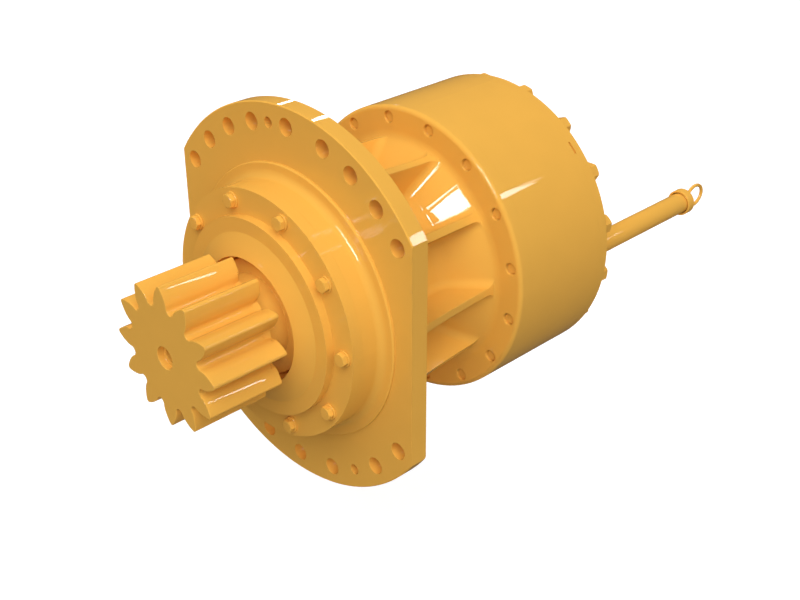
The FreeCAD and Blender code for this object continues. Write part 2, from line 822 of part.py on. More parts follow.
def output_carrier():
    """Planet carrier of the output stage: splined hub, two plates and three webs."""
    front = turned([
        (spline_minor_radius - 1, hub_start),
        (carrier_hub_radius, hub_start),
        (carrier_hub_radius, front_plate_start),
        (carrier_radius, front_plate_start),
        (carrier_radius, front_plate_end),
        (end_plate_radius + seat_gap, front_plate_end),
        (end_plate_radius + seat_gap, spline_end),
        (spline_minor_radius - 1, spline_end),
    ])
    rear = ring(carrier_eye_radius, carrier_radius, rear_plate_start, rear_plate_end)
    webs = [sector(carrier_web_inner, carrier_radius, carrier_web_angle, angle + 180 / planet_count,
                   front_plate_end - 1, rear_plate_start + 1) for angle in planet_angles]
    body = front.fuse([rear] + webs).removeSplitter()
    tools = [cylinder(output_pin_radius + seat_gap, front_plate_end - output_pin_seat,
                      rear_plate_end + 1, planet_place(angle)) for angle in planet_angles]
    tools.append(splined_bar(spline_minor_radius, spline_major_radius, spline_width,
                             hub_start - 1, spline_end + 1, spline_gap))
    return body.cut(tools)


def carrier_end_plate():
    """Plate that clamps the carrier to the shaft's end."""
    disc = cylinder(end_plate_radius - seat_gap, spline_end, spline_end + end_plate_thickness)
    hole = cylinder(end_bolt_radius + bolt_hole_gap, spline_end - 1,
                    spline_end + end_plate_thickness + 1, polar(end_bolt_circle, 0))
    return disc.cut(pattern(hole, end_bolt_count))


def end_plate_bolts():
    """Bolts of the end plate."""
    one = bolt(end_bolt_radius, end_bolt_flats, end_bolt_head_height, end_bolt_length,
               spline_end + end_plate_thickness, polar(end_bolt_circle, 0), -1)
    return group(pattern(one, end_bolt_count))


def planet(angle, pin_radius, start, width):
    """Planet gear with a tooth towards the sun and a bore for its bush."""
    gear = gear_bar(planet_teeth, angle + 180, start, start + width)
    bore = cylinder(pin_radius + bush_wall, start - 1, start + width + 1)
    gear = gear.cut(bore)
    gear.translate(planet_place(angle))
    return gear


def bush(angle, pin_radius, start, width):
    """Bearing bush pressed into a planet."""
    sleeve = ring(pin_radius + running_gap, pin_radius + bush_wall - seat_gap, start, start + width)
    sleeve.translate(planet_place(angle))
    return sleeve


def planet_pins(pin_radius, start, end):
    """Three planet pins."""
    return group([cylinder(pin_radius, start, end, planet_place(angle)) for angle in planet_angles])


def thrust_washers(pin_radius, starts):
    """Washers on both sides of each planet."""
    washers = []
    for angle in planet_angles:
        for start in starts:
            one = ring(pin_radius + seat_gap, pin_radius + thrust_washer_rim, start,
                       start + thrust_washer_thickness)
            one.translate(planet_place(angle))
            washers.append(one)
    return group(washers)


def output_sun():
    """Output sun gear; its teeth run on into the input carrier's splined bore."""
    return gear_bar(sun_teeth, first_planet_angle + 180 / sun_teeth,
                    front_plate_end + sun_end_gap, input_plate_end)


def input_carrier():
    """Input planet carrier: a plate splined on the output sun."""
    plate = cylinder(input_carrier_radius, input_plate_start, input_plate_end)
    tools = [cylinder(input_pin_radius + seat_gap, input_plate_end - input_pin_seat,
                      input_plate_end + 1, planet_place(angle)) for angle in planet_angles]
    tools.append(gear_bar(sun_teeth, first_planet_angle + 180 / sun_teeth,
                          input_plate_start - 1, input_plate_end + 1, sun_spline_gap))
    return plate.cut(tools)


def input_pin_rings():
    """Rings that hold the outer washers on the input pins."""
    rings = []
    for angle in planet_angles:
        one = ring(input_pin_radius + seat_gap, input_pin_radius + pin_ring_width,
                   input_washer_end, pin_ring_end)
        one.translate(planet_place(angle))
        rings.append(one)
    return group(rings)


def input_sun():
    """Input sun gear with the splined socket for the motor's shaft."""
    gear = gear_bar(sun_teeth, first_planet_angle + 180 / sun_teeth,
                    input_plate_end + input_sun_gap, input_planet_end)
    sleeve = cylinder(sleeve_radius, input_planet_end - 1, sleeve_end)
    socket = splined_bar(motor_spline_minor, motor_spline_major, motor_spline_width,
                         sleeve_end - motor_spline_depth, sleeve_end + 1)
    return gear.fuse(sleeve).cut(socket)


def ring_gear():
    """Ring gear whose outside is the middle of the drum."""
    blank = cylinder(drum_radius, drum_joint, cover_start)
    spaces = toothed_bar(ring_teeth, ring_space_radius, ring_tip_radius, tooth_thinning,
                         first_planet_angle + 180 / ring_teeth, drum_joint - 1, cover_start + 1)
    depth = spigot_length + spigot_depth_gap
    hole = cylinder(cover_bolt_radius + bolt_hole_gap, drum_joint - 1, cover_start + 1,
                    polar(cover_bolt_circle, 0))
    tools = [spaces, cylinder(spigot_radius, drum_joint - 1, drum_joint + depth),
             cylinder(spigot_radius, input_planet_end + ring_tooth_overrun, cover_start + 1)]
    return blank.cut(tools + pattern(hole, cover_bolt_count, 180 / cover_bolt_count))


def rear_cover():
    """Rear cover with the motor face, the dipstick seat and the filler hole."""
    spigot = spigot_radius - seat_gap
    pilot_end = motor_face - motor_pilot_depth
    body = turned([
        (motor_shaft_hole_radius, cover_start),
        (spigot_radius - cover_spigot_wall, cover_start),
        (spigot_radius - cover_spigot_wall, cover_start - spigot_length),
        (spigot, cover_start - spigot_length),
        (spigot, cover_start),
        (drum_radius, cover_start),
        (drum_radius, cover_end - cover_chamfer),
        (drum_radius - cover_chamfer, cover_end),
        (motor_boss_radius, cover_end),
        (motor_boss_radius - motor_boss_draft, motor_face),
        (motor_pilot_radius, motor_face),
        (motor_pilot_radius, pilot_end),
        (motor_shaft_hole_radius, pilot_end),
    ])
    tube_place = FreeCAD.Vector(dipstick_x, 0, dipstick_z)
    tube_boss = cylinder(tube_boss_radius, cover_end - 1, tube_boss_end, tube_place)
    seat_start = tube_boss_end - tube_seat_depth
    plug_place = polar(math.hypot(dipstick_x, dipstick_z), 0, plug_angle)
    motor_hole = cylinder(motor_bolt_hole_radius, motor_face - motor_bolt_hole_depth, motor_face + 1,
                          polar(motor_bolt_circle, 0))
    bolt_hole = cylinder(cover_bolt_radius + bolt_hole_gap, cover_start - 1, cover_end + 1,
                         polar(cover_bolt_circle, 0))
    pry_slot = Part.makeBox(2 * pry_slot_depth, pry_slot_height, pry_slot_width,
                            FreeCAD.Vector(drum_radius - pry_slot_depth, cover_start,
                                           -pry_slot_width / 2))
    tools = [
        cylinder(dipstick_tube_bore, cover_start - 1, seat_start + 1, tube_place),
        cylinder(dipstick_tube_radius + seat_gap, seat_start, tube_boss_end + 1, tube_place),
        cylinder(plug_radius + thread_gap, cover_start - 1, cover_end + 1, plug_place),
        ring(seal_groove_radius, seal_groove_radius + seal_width, cover_start - 1,
             cover_start + seal_height),
    ]
    tools += pattern(motor_hole, motor_bolt_count, 180 / motor_bolt_count)
    tools += pattern(bolt_hole, cover_bolt_count, 180 / cover_bolt_count)
    tools += pattern(pry_slot, 2, pry_slot_angle)
    return body.fuse(tube_boss).cut(tools)


def cover_bolts():
    """Long bolts through the cover and the ring gear into the housing."""
    seat = cover_end + cover_washer_thickness
    one = bolt(cover_bolt_radius, cover_bolt_head_flats, cover_bolt_head_height,
               seat - drum_front - cover_bolt_end_depth, seat, polar(cover_bolt_circle, 0), -1)
    return group(pattern(one, cover_bolt_count, 180 / cover_bolt_count))


def cover_washers():
    """Washers under the cover bolts."""
    one = ring(cover_bolt_radius + thread_gap, cover_washer_radius, cover_end,
               cover_end + cover_washer_thickness)
    one.translate(polar(cover_bolt_circle, 0))
    return group(pattern(one, cover_bolt_count, 180 / cover_bolt_count))


def at_tube(shape):
    """Moves a shape made on the drive axis to the dipstick tube."""
    shape.translate(FreeCAD.Vector(dipstick_x, 0, dipstick_z))
    return shape


def dipstick_tube():
    """Tube that carries the dipstick, seated in the cover's boss."""
    return at_tube(ring(dipstick_tube_bore, dipstick_tube_radius, tube_boss_end - tube_seat_depth,
                        dipstick_tube_end))


def tube_locknut():
    """Hexagon nut that locks the tube against the cover's boss."""
    end = tube_boss_end + tube_nut_height
    body = hexagon(tube_nut_flats, tube_boss_end, end)
    return at_tube(body.cut(cylinder(dipstick_tube_radius + seat_gap, tube_boss_end - 1, end + 1)))


def eye_solid(wire_radius):
    """Wire eye: two legs tangent to a round loop, in the upright plane through the tube."""
    half = eye_leg_spacing / 2
    foot_drop = eye_centre - eye_leg_start
    reach = math.hypot(half, foot_drop)
    lean = math.atan2(half, foot_drop) + math.acos(eye_radius / reach)
    side = eye_radius * math.sin(lean)
    down = eye_radius * math.cos(lean)
    feet = [FreeCAD.Vector(0, eye_leg_start, z) for z in (-half, half)]
    tangents = [FreeCAD.Vector(0, eye_centre - down, z) for z in (-side, side)]
    top = FreeCAD.Vector(0, eye_centre + eye_radius, 0)
    path = Part.Wire([
        Part.LineSegment(feet[0], tangents[0]).toShape(),
        Part.Arc(tangents[0], top, tangents[1]).toShape(),
        Part.LineSegment(tangents[1], feet[1]).toShape(),
    ])
    section = Part.Wire(Part.makeCircle(wire_radius, feet[0], tangents[0] - feet[0]))
    return path.makePipeShell([section], True, False)


def dipstick_cap():
    """Cap with its skirt over the tube and its stopper in the tube's bore."""
    underside = dipstick_tube_end + side_gap
    stopper = dipstick_tube_bore - side_gap
    stopper_end = underside - stopper_length
    cap = turned([
        (0, cap_top),
        ((cap_radius * 0.6, cap_top - cap_dome_height * 0.32), (cap_radius, cap_rim)),
        (cap_radius, cap_front),
        (cap_skirt_bore, cap_front),
        (cap_skirt_bore, underside),
        (stopper, underside),
        (stopper, stopper_end),
        (rod_radius + seat_gap, stopper_end),
        (rod_radius + seat_gap, stopper_end + rod_seat_depth),
        (0, stopper_end + rod_seat_depth),
    ])
    return at_tube(cap.cut(eye_solid(eye_wire_radius + seat_gap)))


def dipstick_ring():
    """Pull eye set into the cap."""
    return at_tube(eye_solid(eye_wire_radius))


def dipstick_rod():
    """Level rod with a tapered end."""
    top = dipstick_tube_end + side_gap - stopper_length + rod_seat_depth
    return at_tube(turned([
        (0, rod_end), (rod_radius / 2, rod_end), (rod_radius, rod_end + 2 * rod_radius),
        (rod_radius, top), (0, top),
    ]))


def filler_plug():
    """Hexagon plug of the filler hole."""
    place = polar(math.hypot(dipstick_x, dipstick_z), 0, plug_angle)
    return bolt(plug_radius, plug_flats, plug_head_height, plug_length,
                cover_end + plug_washer_thickness, place, -1)


def plug_washer():
    """Sealing washer under the filler plug."""
    washer = ring(plug_radius + thread_gap, plug_washer_radius, cover_end,
                  cover_end + plug_washer_thickness)
    washer.translate(polar(math.hypot(dipstick_x, dipstick_z), 0, plug_angle))
    return washer


def all_nodes():
    """Every node of the part, by name."""
    lower = (lower_bore_radius, lower_outer_radius, lower_roller_radius, lower_start, lower_width)
    upper = (upper_bore_radius, upper_outer_radius, upper_roller_radius, upper_start, upper_width)
    waist = lower_bore_radius - shaft_waist_gap
    nodes = {
        "housing": housing(),
        "bearing_retainer": bearing_retainer(),
        "retainer_bolts": retainer_bolts(),
        "retainer_washers": retainer_washers(),
        "retainer_seal": square_seal(retainer_seal_radius, nose_front - seal_height),
        "shaft_seal": shaft_seal(),
        "pinion_shaft": pinion_shaft(),
        "bearing_spacer": ring(waist + side_gap, spacer_outer_radius, lower_end, upper_start),
        "lock_washer": ring(upper_bore_radius + seat_gap, locknut_radius, upper_end, locknut_start),
        "bearing_locknut": bearing_locknut(),
        "output_carrier": output_carrier(),
        "carrier_end_plate": carrier_end_plate(),
        "end_plate_bolts": end_plate_bolts(),
        "output_planet_pins": planet_pins(output_pin_radius, front_plate_end - output_pin_seat,
                                          rear_plate_end),
        "output_thrust_washers": thrust_washers(output_pin_radius,
                                                (front_plate_end, output_planet_end + side_gap)),
        "output_sun": output_sun(),
        "input_carrier": input_carrier(),
        "input_planet_pins": planet_pins(input_pin_radius, input_plate_end - input_pin_seat,
                                         input_pin_end),
        "input_thrust_washers": thrust_washers(input_pin_radius,
                                               (input_plate_end, input_planet_end + side_gap)),
        "input_pin_rings": input_pin_rings(),
        "input_sun": input_sun(),
        "ring_gear": ring_gear(),
        "ring_gear_front_seal": square_seal(seal_groove_radius, drum_joint - seal_height),
        "ring_gear_rear_seal": square_seal(seal_groove_radius, cover_start),
        "rear_cover": rear_cover(),
        "cover_bolts": cover_bolts(),
        "cover_washers": cover_washers(),
        "dipstick_tube": dipstick_tube(),
        "tube_locknut": tube_locknut(),
        "dipstick_cap": dipstick_cap(),
        "dipstick_ring": dipstick_ring(),
        "dipstick_rod": dipstick_rod(),
        "filler_plug": filler_plug(),
        "plug_washer": plug_washer(),
    }
    for name, sizes in (("lower_bearing", lower), ("upper_bearing", upper)):
        nodes[name + "_outer_race"] = outer_race(*sizes)
        nodes[name + "_inner_race"] = inner_race(*sizes)
        nodes[name + "_rollers"] = bearing_rollers(*sizes)
        nodes[name + "_cage"] = bearing_cage(*sizes)
    for number, angle in enumerate(planet_angles, 1):
        label = str(number)
        nodes["output_planet_" + label] = planet(angle, output_pin_radius, output_planet_start,
                                                 output_planet_width)
        nodes["output_bush_" + label] = bush(angle, output_pin_radius, output_planet_start,
                                             output_planet_width)
        nodes["input_planet_" + label] = planet(angle, input_pin_radius, input_planet_start,
                                                input_planet_width)
        nodes["input_bush_" + label] = bush(angle, input_pin_radius, input_planet_start,
                                            input_planet_width)
    return nodes


os.makedirs("parts", exist_ok=True)
for node_name, shape in all_nodes().items():
    shape.exportStep("parts/" + node_name + ".step")
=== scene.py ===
"""Dresses the swing drive: its finishes, pinion, fasteners and dipstick, and a studio.

Lengths are in metres, or in millimetres where a docstring says so, and angles are in degrees. The
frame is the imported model's: the drive axis is Y, the pinion points to -Y, and +Z is up.
"""

import json
import logging
import math
from dataclasses import dataclass, field
from enum import Enum

import bmesh
import bpy
import numpy as np
from mathutils import Matrix, Vector

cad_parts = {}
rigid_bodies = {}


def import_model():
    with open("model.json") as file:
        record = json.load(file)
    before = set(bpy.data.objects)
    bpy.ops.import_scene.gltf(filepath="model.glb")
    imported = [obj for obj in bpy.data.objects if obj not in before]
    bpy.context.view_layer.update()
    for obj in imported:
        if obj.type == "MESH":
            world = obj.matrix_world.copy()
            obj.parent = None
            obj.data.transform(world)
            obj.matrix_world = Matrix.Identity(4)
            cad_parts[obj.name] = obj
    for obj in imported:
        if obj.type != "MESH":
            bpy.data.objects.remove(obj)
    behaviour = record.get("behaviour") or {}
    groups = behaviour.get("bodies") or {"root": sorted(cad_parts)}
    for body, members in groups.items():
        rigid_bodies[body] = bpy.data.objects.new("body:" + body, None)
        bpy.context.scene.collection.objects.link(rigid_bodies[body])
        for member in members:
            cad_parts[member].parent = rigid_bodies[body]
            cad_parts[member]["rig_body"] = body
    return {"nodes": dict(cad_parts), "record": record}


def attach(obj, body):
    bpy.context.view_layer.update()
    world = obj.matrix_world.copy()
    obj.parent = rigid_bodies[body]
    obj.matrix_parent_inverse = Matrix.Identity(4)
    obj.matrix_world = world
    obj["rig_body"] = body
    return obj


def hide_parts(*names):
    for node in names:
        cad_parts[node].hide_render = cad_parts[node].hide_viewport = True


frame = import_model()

log = logging.getLogger("swing_drive")

MM = 0.001  # metres in a millimetre
TURNS = 48  # steps round a turned surface
EDGE_SAMPLES = 6  # looks that the paint's shading takes at a rounded edge
JOIN_DISTANCE = 1e-6  # points of a new surface that are nearer than this become one, in metres
SLIVER = 1e-7  # edges that are shorter than this are dropped, in metres
HEX_EDGE_ANGLE = 22.0  # least angle of a hexagon head's edge that is rounded, in degrees
SIDE_SHARE = 0.49  # most of a profile's side that the curve at one corner takes


class Slot(Enum):
    """Material slots of the record, each with its own finish."""

    GOLD_PAINT = "gold_paint"
    BRIGHT_WIRE = "bright_wire"
    MACHINED_STEEL = "machined_steel"
    CARRIER_IRON = "carrier_iron"
    BRONZE = "bronze"
    SEAL_RUBBER = "seal_rubber"


class GroupName(Enum):
    """Shader effects that several finishes share."""

    ENAMEL_SURFACE = "enamel surface"
    TURNING_MARKS = "turning marks"
    CAST_GRAIN = "cast grain"
    CASTING_EDGES = "casting edges"


class End(Enum):
    """Ends of the drive that a fastener's head points to, as the sign of Y."""

    PINION = -1.0
    MOTOR = 1.0


class ShaderGroup:
    """A shader node group with named inputs and outputs, built once and placed in many finishes."""

    def __init__(self, name: GroupName, defaults: dict[str, float]) -> None:
        """Starts a group that takes a place on the surface, Vector, and some values.

        Args:
            name: which effect the group makes.
            defaults: the values that it takes, as they are where a finish gives none.
        """
        self.tree = bpy.data.node_groups.new(name.value, "ShaderNodeTree")
        sockets = self.tree.interface
        sockets.new_socket(name="Vector", in_out="INPUT", socket_type="NodeSocketVector")
        for taken, value in defaults.items():
            socket = sockets.new_socket(name=taken, in_out="INPUT", socket_type="NodeSocketFloat")
            socket.default_value = value
        self.given = self.tree.nodes.new("NodeGroupInput").outputs
        self.end = self.tree.nodes.new("NodeGroupOutput")

    def give(self, name: str, source: bpy.types.NodeSocket) -> None:
        """Adds an output value and joins its source to it.

        Args:
            name: the value's name.
            source: the socket inside the group that feeds it.
        """
        self.tree.interface.new_socket(name=name, in_out="OUTPUT", socket_type="NodeSocketFloat")
        self.tree.links.new(source, self.end.inputs[name])

    def node(self, kind: str, **settings: object) -> bpy.types.Node:
        """Adds a node with some of its settings.

        Args:
            kind: the node's Blender type.
            **settings: attributes to set on it.

        Returns:
            The new node.
        """
        made = self.tree.nodes.new(kind)
        for name, value in settings.items():
            setattr(made, name, value)
        return made

    def math(self, operation: str, first: object, second: object = 0.0) -> bpy.types.NodeSocket:
        """Adds a Math node.

        Args:
            operation: the node's operation.
            first: a socket or a number.
            second: a socket or a number.

        Returns:
            The node's output socket.
        """
        made = self.node("ShaderNodeMath", operation=operation)
        for place, value in enumerate((first, second)):
            if isinstance(value, bpy.types.NodeSocket):
                self.tree.links.new(value, made.inputs[place])
            else:
                made.inputs[place].default_value = value
        return made.outputs[0]

    def noise(self, vector: bpy.types.NodeSocket, scale: bpy.types.NodeSocket, detail: float,
              roughness: float = 0.5) -> bpy.types.NodeSocket:
        """Adds a Noise Texture.

        Args:
            vector: where the noise is read.
            scale: how fine it is, per metre.
            detail: how many octaves it has.
            roughness: how strong the finer octaves are.

        Returns:
            The noise value, about 0 to 1.
        """
        made = self.node("ShaderNodeTexNoise")
        made.inputs["Detail"].default_value = detail
        made.inputs["Roughness"].default_value = roughness
        self.tree.links.new(vector, made.inputs["Vector"])
        self.tree.links.new(scale, made.inputs["Scale"])
        return made.outputs["Fac"]

    def round_axis(self) -> tuple[bpy.types.NodeSocket, bpy.types.NodeSocket]:
        """Splits the group's Vector into the distance from the drive axis and the place along it.

        Returns:
            The distance, which is the square root of x squared plus z squared, and the place, y.
        """
        parts = self.node("ShaderNodeSeparateXYZ")
        self.tree.links.new(self.given["Vector"], parts.inputs[0])
        across = self.math("MULTIPLY", parts.outputs["X"], parts.outputs["X"])
        upward = self.math("MULTIPLY", parts.outputs["Z"], parts.outputs["Z"])
        return self.math("SQRT", self.math("ADD", across, upward)), parts.outputs["Y"]


def enamel_surface_group() -> bpy.types.NodeTree:
    """Skin of sprayed enamel: long flow waves, fine orange peel and a faint drift of tone.

    The height is the flow noise times its depth plus the peel noise times its depth, in metres.
    The tone is 1 plus the flow noise, taken about its middle, times the drift.

    Returns:
        The node group, with inputs Vector, Peel Scale, Peel Depth, Flow Scale, Flow Depth and
        Drift, and outputs Height and Tone.
    """
    group = ShaderGroup(GroupName.ENAMEL_SURFACE, {
        "Peel Scale": 900.0, "Peel Depth": 2e-6, "Flow Scale": 22.0, "Flow Depth": 3e-5,
        "Drift": 0.05})
    given = group.given
    peel = group.noise(given["Vector"], given["Peel Scale"], 2.0)
    flow = group.noise(given["Vector"], given["Flow Scale"], 1.0)
    height = group.math("ADD", group.math("MULTIPLY", peel, given["Peel Depth"]),
                        group.math("MULTIPLY", flow, given["Flow Depth"]))
    centred = group.math("SUBTRACT", flow, 0.5)
    tone = group.math("ADD", group.math("MULTIPLY", centred, given["Drift"]), 1.0)
    group.give("Height", height)
    group.give("Tone", tone)
    return group.tree


def turning_marks_group() -> bpy.types.NodeTree:
    """Fine rings that a lathe leaves: noise read at the distance from the drive axis and along it.

    The height is the noise times the depth, and the mask is the noise times the unevenness.

    Returns:
        The node group, with inputs Vector, Pitch, Depth and Unevenness, and outputs Height and
        Mask.
    """
    group = ShaderGroup(GroupName.TURNING_MARKS, {
        "Pitch": 1500.0, "Depth": 6e-6, "Unevenness": 0.1})
    given = group.given
    radius, along = group.round_axis()
    place = group.node("ShaderNodeCombineXYZ")
    group.tree.links.new(radius, place.inputs["X"])
    group.tree.links.new(along, place.inputs["Y"])
    marks = group.noise(place.outputs[0], given["Pitch"], 2.0)
    group.give("Height", group.math("MULTIPLY", marks, given["Depth"]))
    group.give("Mask", group.math("MULTIPLY", marks, given["Unevenness"]))
    return group.tree


def cast_grain_group() -> bpy.types.NodeTree:
    """Sand-cast skin: coarse noise with many octaves for its height, and a slow one for its tone.

    The height is the coarse noise times the depth. The tone is 1 plus the slow noise, taken about
    its middle, times the patchiness.

    Returns:
        The node group, with inputs Vector, Grain Scale, Depth and Patchiness, and outputs Height
        and Tone.
    """
    group = ShaderGroup(GroupName.CAST_GRAIN, {
        "Grain Scale": 450.0, "Depth": 5e-5, "Patchiness": 0.2})
    given = group.given
    grain = group.noise(given["Vector"], given["Grain Scale"], 6.0, 0.6)
    slow = group.noise(given["Vector"], group.math("MULTIPLY", given["Grain Scale"], 0.05), 3.0)
    centred = group.math("SUBTRACT", slow, 0.5)
    tone = group.math("ADD", group.math("MULTIPLY", centred, given["Patchiness"]), 1.0)
    group.give("Height", group.math("MULTIPLY", grain, given["Depth"]))
    group.give("Tone", tone)
    return group.tree


def casting_edges_group() -> bpy.types.NodeTree:
    """Roundness and gloss of the casting's edges.

    The radius is the plain one plus the ribs' extra where the place along the axis is within half
    the ribs' length of their middle, and the distance from the axis is within half their height.
    The coat is left off two edges that show no gloss in the photo. One is the flange's round front
    edge: there the distance from the axis is over the rim's and the place along it is under the
    face's. The other is the chamfer of the pad in front of the flange: there both are within half
    the chamfer's width of its middle.

    Returns:
        The node group, with inputs Vector, Plain, Extra, Middle, Half Length, Centre, Half Height,
        Coat, Rim, Face, Pad Rim, Pad Face and Half Chamfer, and outputs Radius and Coat.
    """
    group = ShaderGroup(GroupName.CASTING_EDGES, {
        "Plain": 0.0005, "Extra": 0.0025, "Middle": 0.138, "Half Length": 0.098,
        "Centre": 0.175, "Half Height": 0.055, "Coat": 0.75, "Rim": 0.28685, "Face": 0.00155,
        "Pad Rim": 0.20425, "Pad Face": -0.00375, "Half Chamfer": 0.00085})
    given = group.given
    radius, along = group.round_axis()

    def near(value: bpy.types.NodeSocket, middle: str, half: str) -> bpy.types.NodeSocket:
        """Gives 1 where a value is within half a span of its middle, and 0 elsewhere."""
        away = group.math("ABSOLUTE", group.math("SUBTRACT", value, given[middle]))
        return group.math("LESS_THAN", away, given[half])

    inside = group.math("MULTIPLY", near(along, "Middle", "Half Length"),
                        near(radius, "Centre", "Half Height"))
    extra = group.math("MULTIPLY", inside, given["Extra"])
    group.give("Radius", group.math("ADD", given["Plain"], extra))
    outer = group.math("GREATER_THAN", radius, given["Rim"])
    front = group.math("LESS_THAN", along, given["Face"])
    chamfer = group.math("MULTIPLY", near(radius, "Pad Rim", "Half Chamfer"),
                         near(along, "Pad Face", "Half Chamfer"))
    bare = group.math("MAXIMUM", group.math("MULTIPLY", outer, front), chamfer)
    kept = group.math("SUBTRACT", 1.0, bare)
    group.give("Coat", group.math("MULTIPLY", given["Coat"], kept))
    return group.tree


def shader_groups() -> dict[GroupName, bpy.types.NodeTree]:
    """Builds each shared effect once.

    Returns:
        The node groups by name.
    """
    return {
        GroupName.ENAMEL_SURFACE: enamel_surface_group(),
        GroupName.TURNING_MARKS: turning_marks_group(),
        GroupName.CAST_GRAIN: cast_grain_group(),
        GroupName.CASTING_EDGES: casting_edges_group(),
    }


@dataclass(frozen=True)
class Finish:
    """A surface finish: one colour, its shader values, and the shared effect that breaks it up."""

    name: str
    colour: tuple[float, float, float]
    effect: GroupName
    effect_values: dict[str, float] = field(default_factory=dict)
    metallic: float = 0.0
    roughness: float = 0.5
    ior: float = 1.5
    coat: float = 0.0
    coat_roughness: float = 0.03
    specular: float = 0.5
    roughness_from_mask: bool = False
    edge_radius: float = 0.0
    ribbed: bool = False

    def material(self, groups: dict[GroupName, bpy.types.NodeTree]) -> bpy.types.Material:
        """Builds the finish.

        Args:
            groups: the shared effects.

        Returns:
            The material.
        """
        made = bpy.data.materials.new(self.name)
        made.use_nodes = True
        made.diffuse_color = (*self.colour, 1.0)
        nodes = made.node_tree.nodes
        links = made.node_tree.links
        shader = nodes["Principled BSDF"]
        values = {"Metallic": self.metallic, "Roughness": self.roughness, "IOR": self.ior,
                  "Coat Weight": self.coat, "Coat Roughness": self.coat_roughness,
                  "Specular IOR Level": self.specular}
        for name, value in values.items():
            shader.inputs[name].default_value = value
        place = nodes.new("ShaderNodeTexCoord")
        effect = nodes.new("ShaderNodeGroup")
        effect.node_tree = groups[self.effect]
        for name, value in self.effect_values.items():
            effect.inputs[name].default_value = value
        links.new(place.outputs["Object"], effect.inputs["Vector"])
        bump = nodes.new("ShaderNodeBump")
        bump.inputs["Strength"].default_value = 1.0
        bump.inputs["Distance"].default_value = 1.0
        links.new(effect.outputs["Height"], bump.inputs["Height"])
        links.new(bump.outputs["Normal"], shader.inputs["Normal"])
        self.vary(made.node_tree, effect)
        if self.edge_radius > 0.0:
            rounded = self.round_edges(made.node_tree, place.outputs["Object"], groups)
            links.new(rounded, bump.inputs["Normal"])
        return made

    def vary(self, tree: bpy.types.NodeTree, effect: bpy.types.Node) -> None:
        """Lets the effect vary the colour, and the roughness where the finish asks for that.

        The colour is scaled by the effect's tone, and the effect's mask is added to the roughness.

        Args:
            tree: the material's nodes.
            effect: the shared effect's node among them.
        """
        shader = tree.nodes["Principled BSDF"]
        if "Tone" in effect.outputs:
            tint = tree.nodes.new("ShaderNodeVectorMath")
            tint.operation = "SCALE"
            tint.inputs[0].default_value = self.colour
            tree.links.new(effect.outputs["Tone"], tint.inputs["Scale"])
            tree.links.new(tint.outputs["Vector"], shader.inputs["Base Color"])
        else:
            shader.inputs["Base Color"].default_value = (*self.colour, 1.0)
        if self.roughness_from_mask:
            rough = tree.nodes.new("ShaderNodeMath")
            rough.operation = "ADD"
            rough.inputs[1].default_value = self.roughness
            tree.links.new(effect.outputs["Mask"], rough.inputs[0])
            tree.links.new(rough.outputs[0], shader.inputs["Roughness"])

    def round_edges(self, tree: bpy.types.NodeTree, place: bpy.types.NodeSocket,
                    groups: dict[GroupName, bpy.types.NodeTree]) -> bpy.types.NodeSocket:
        """Rounds edges in the paint's shading, and sets the casting's gloss where it is ribbed.

        Args:
            tree: the material's nodes.
            place: the socket that gives the place on the piece.
            groups: the shared effects.

        Returns:
            The socket of the rounded normal.
        """
        edge = tree.nodes.new("ShaderNodeBevel")
        edge.samples = EDGE_SAMPLES
        edge.inputs["Radius"].default_value = self.edge_radius
        if self.ribbed:
            casting = tree.nodes.new("ShaderNodeGroup")
            casting.node_tree = groups[GroupName.CASTING_EDGES]
            casting.inputs["Plain"].default_value = self.edge_radius
            casting.inputs["Coat"].default_value = self.coat
            shader = tree.nodes["Principled BSDF"]
            tree.links.new(place, casting.inputs["Vector"])
            tree.links.new(casting.outputs["Radius"], edge.inputs["Radius"])
            tree.links.new(casting.outputs["Coat"], shader.inputs["Coat Weight"])
        return edge.outputs["Normal"]


GOLD = (0.90, 0.470, 0.079)


def enamel(name: str, edge_radius: float, ribbed: bool = False) -> Finish:
    """Gives the gold enamel that covers the whole drive.

    Args:
        name: the finish's name.
        edge_radius: how round the paint makes an edge, in metres.
        ribbed: whether the ribs' rounder edges are on the piece.

    Returns:
        The finish.
    """
    return Finish(name=name, colour=GOLD, effect=GroupName.ENAMEL_SURFACE, roughness=0.3,
                  specular=0.0, coat=0.75, coat_roughness=0.025, edge_radius=edge_radius,
                  ribbed=ribbed)


FINISHES = {
    Slot.GOLD_PAINT: enamel("gold enamel", 0.0007),
    Slot.BRIGHT_WIRE: Finish(
        name="bright wire", colour=(0.62, 0.60, 0.56), effect=GroupName.TURNING_MARKS,
        metallic=1.0, roughness=0.24, roughness_from_mask=True),
    Slot.MACHINED_STEEL: Finish(
        name="machined steel", colour=(0.45, 0.46, 0.48), effect=GroupName.TURNING_MARKS,
        effect_values={"Depth": 1e-5, "Unevenness": 0.15},
        metallic=1.0, roughness=0.28, roughness_from_mask=True),
    Slot.CARRIER_IRON: Finish(
        name="carrier iron", colour=(0.12, 0.12, 0.125), effect=GroupName.CAST_GRAIN,
        metallic=0.85, roughness=0.5),
    Slot.BRONZE: Finish(
        name="bronze", colour=(0.55, 0.33, 0.12), effect=GroupName.TURNING_MARKS,
        metallic=1.0, roughness=0.3, roughness_from_mask=True),
    Slot.SEAL_RUBBER: Finish(
        name="seal rubber", colour=(0.02, 0.02, 0.02), effect=GroupName.CAST_GRAIN,
        effect_values={"Grain Scale": 1500.0, "Depth": 1e-5}, roughness=0.7),
}

NODE_FINISHES = {
    "housing": enamel("gold enamel on the ribbed casting", 0.0005, ribbed=True),
    "shaft_seal": enamel("gold overspray on the seal", 0.0008),
}


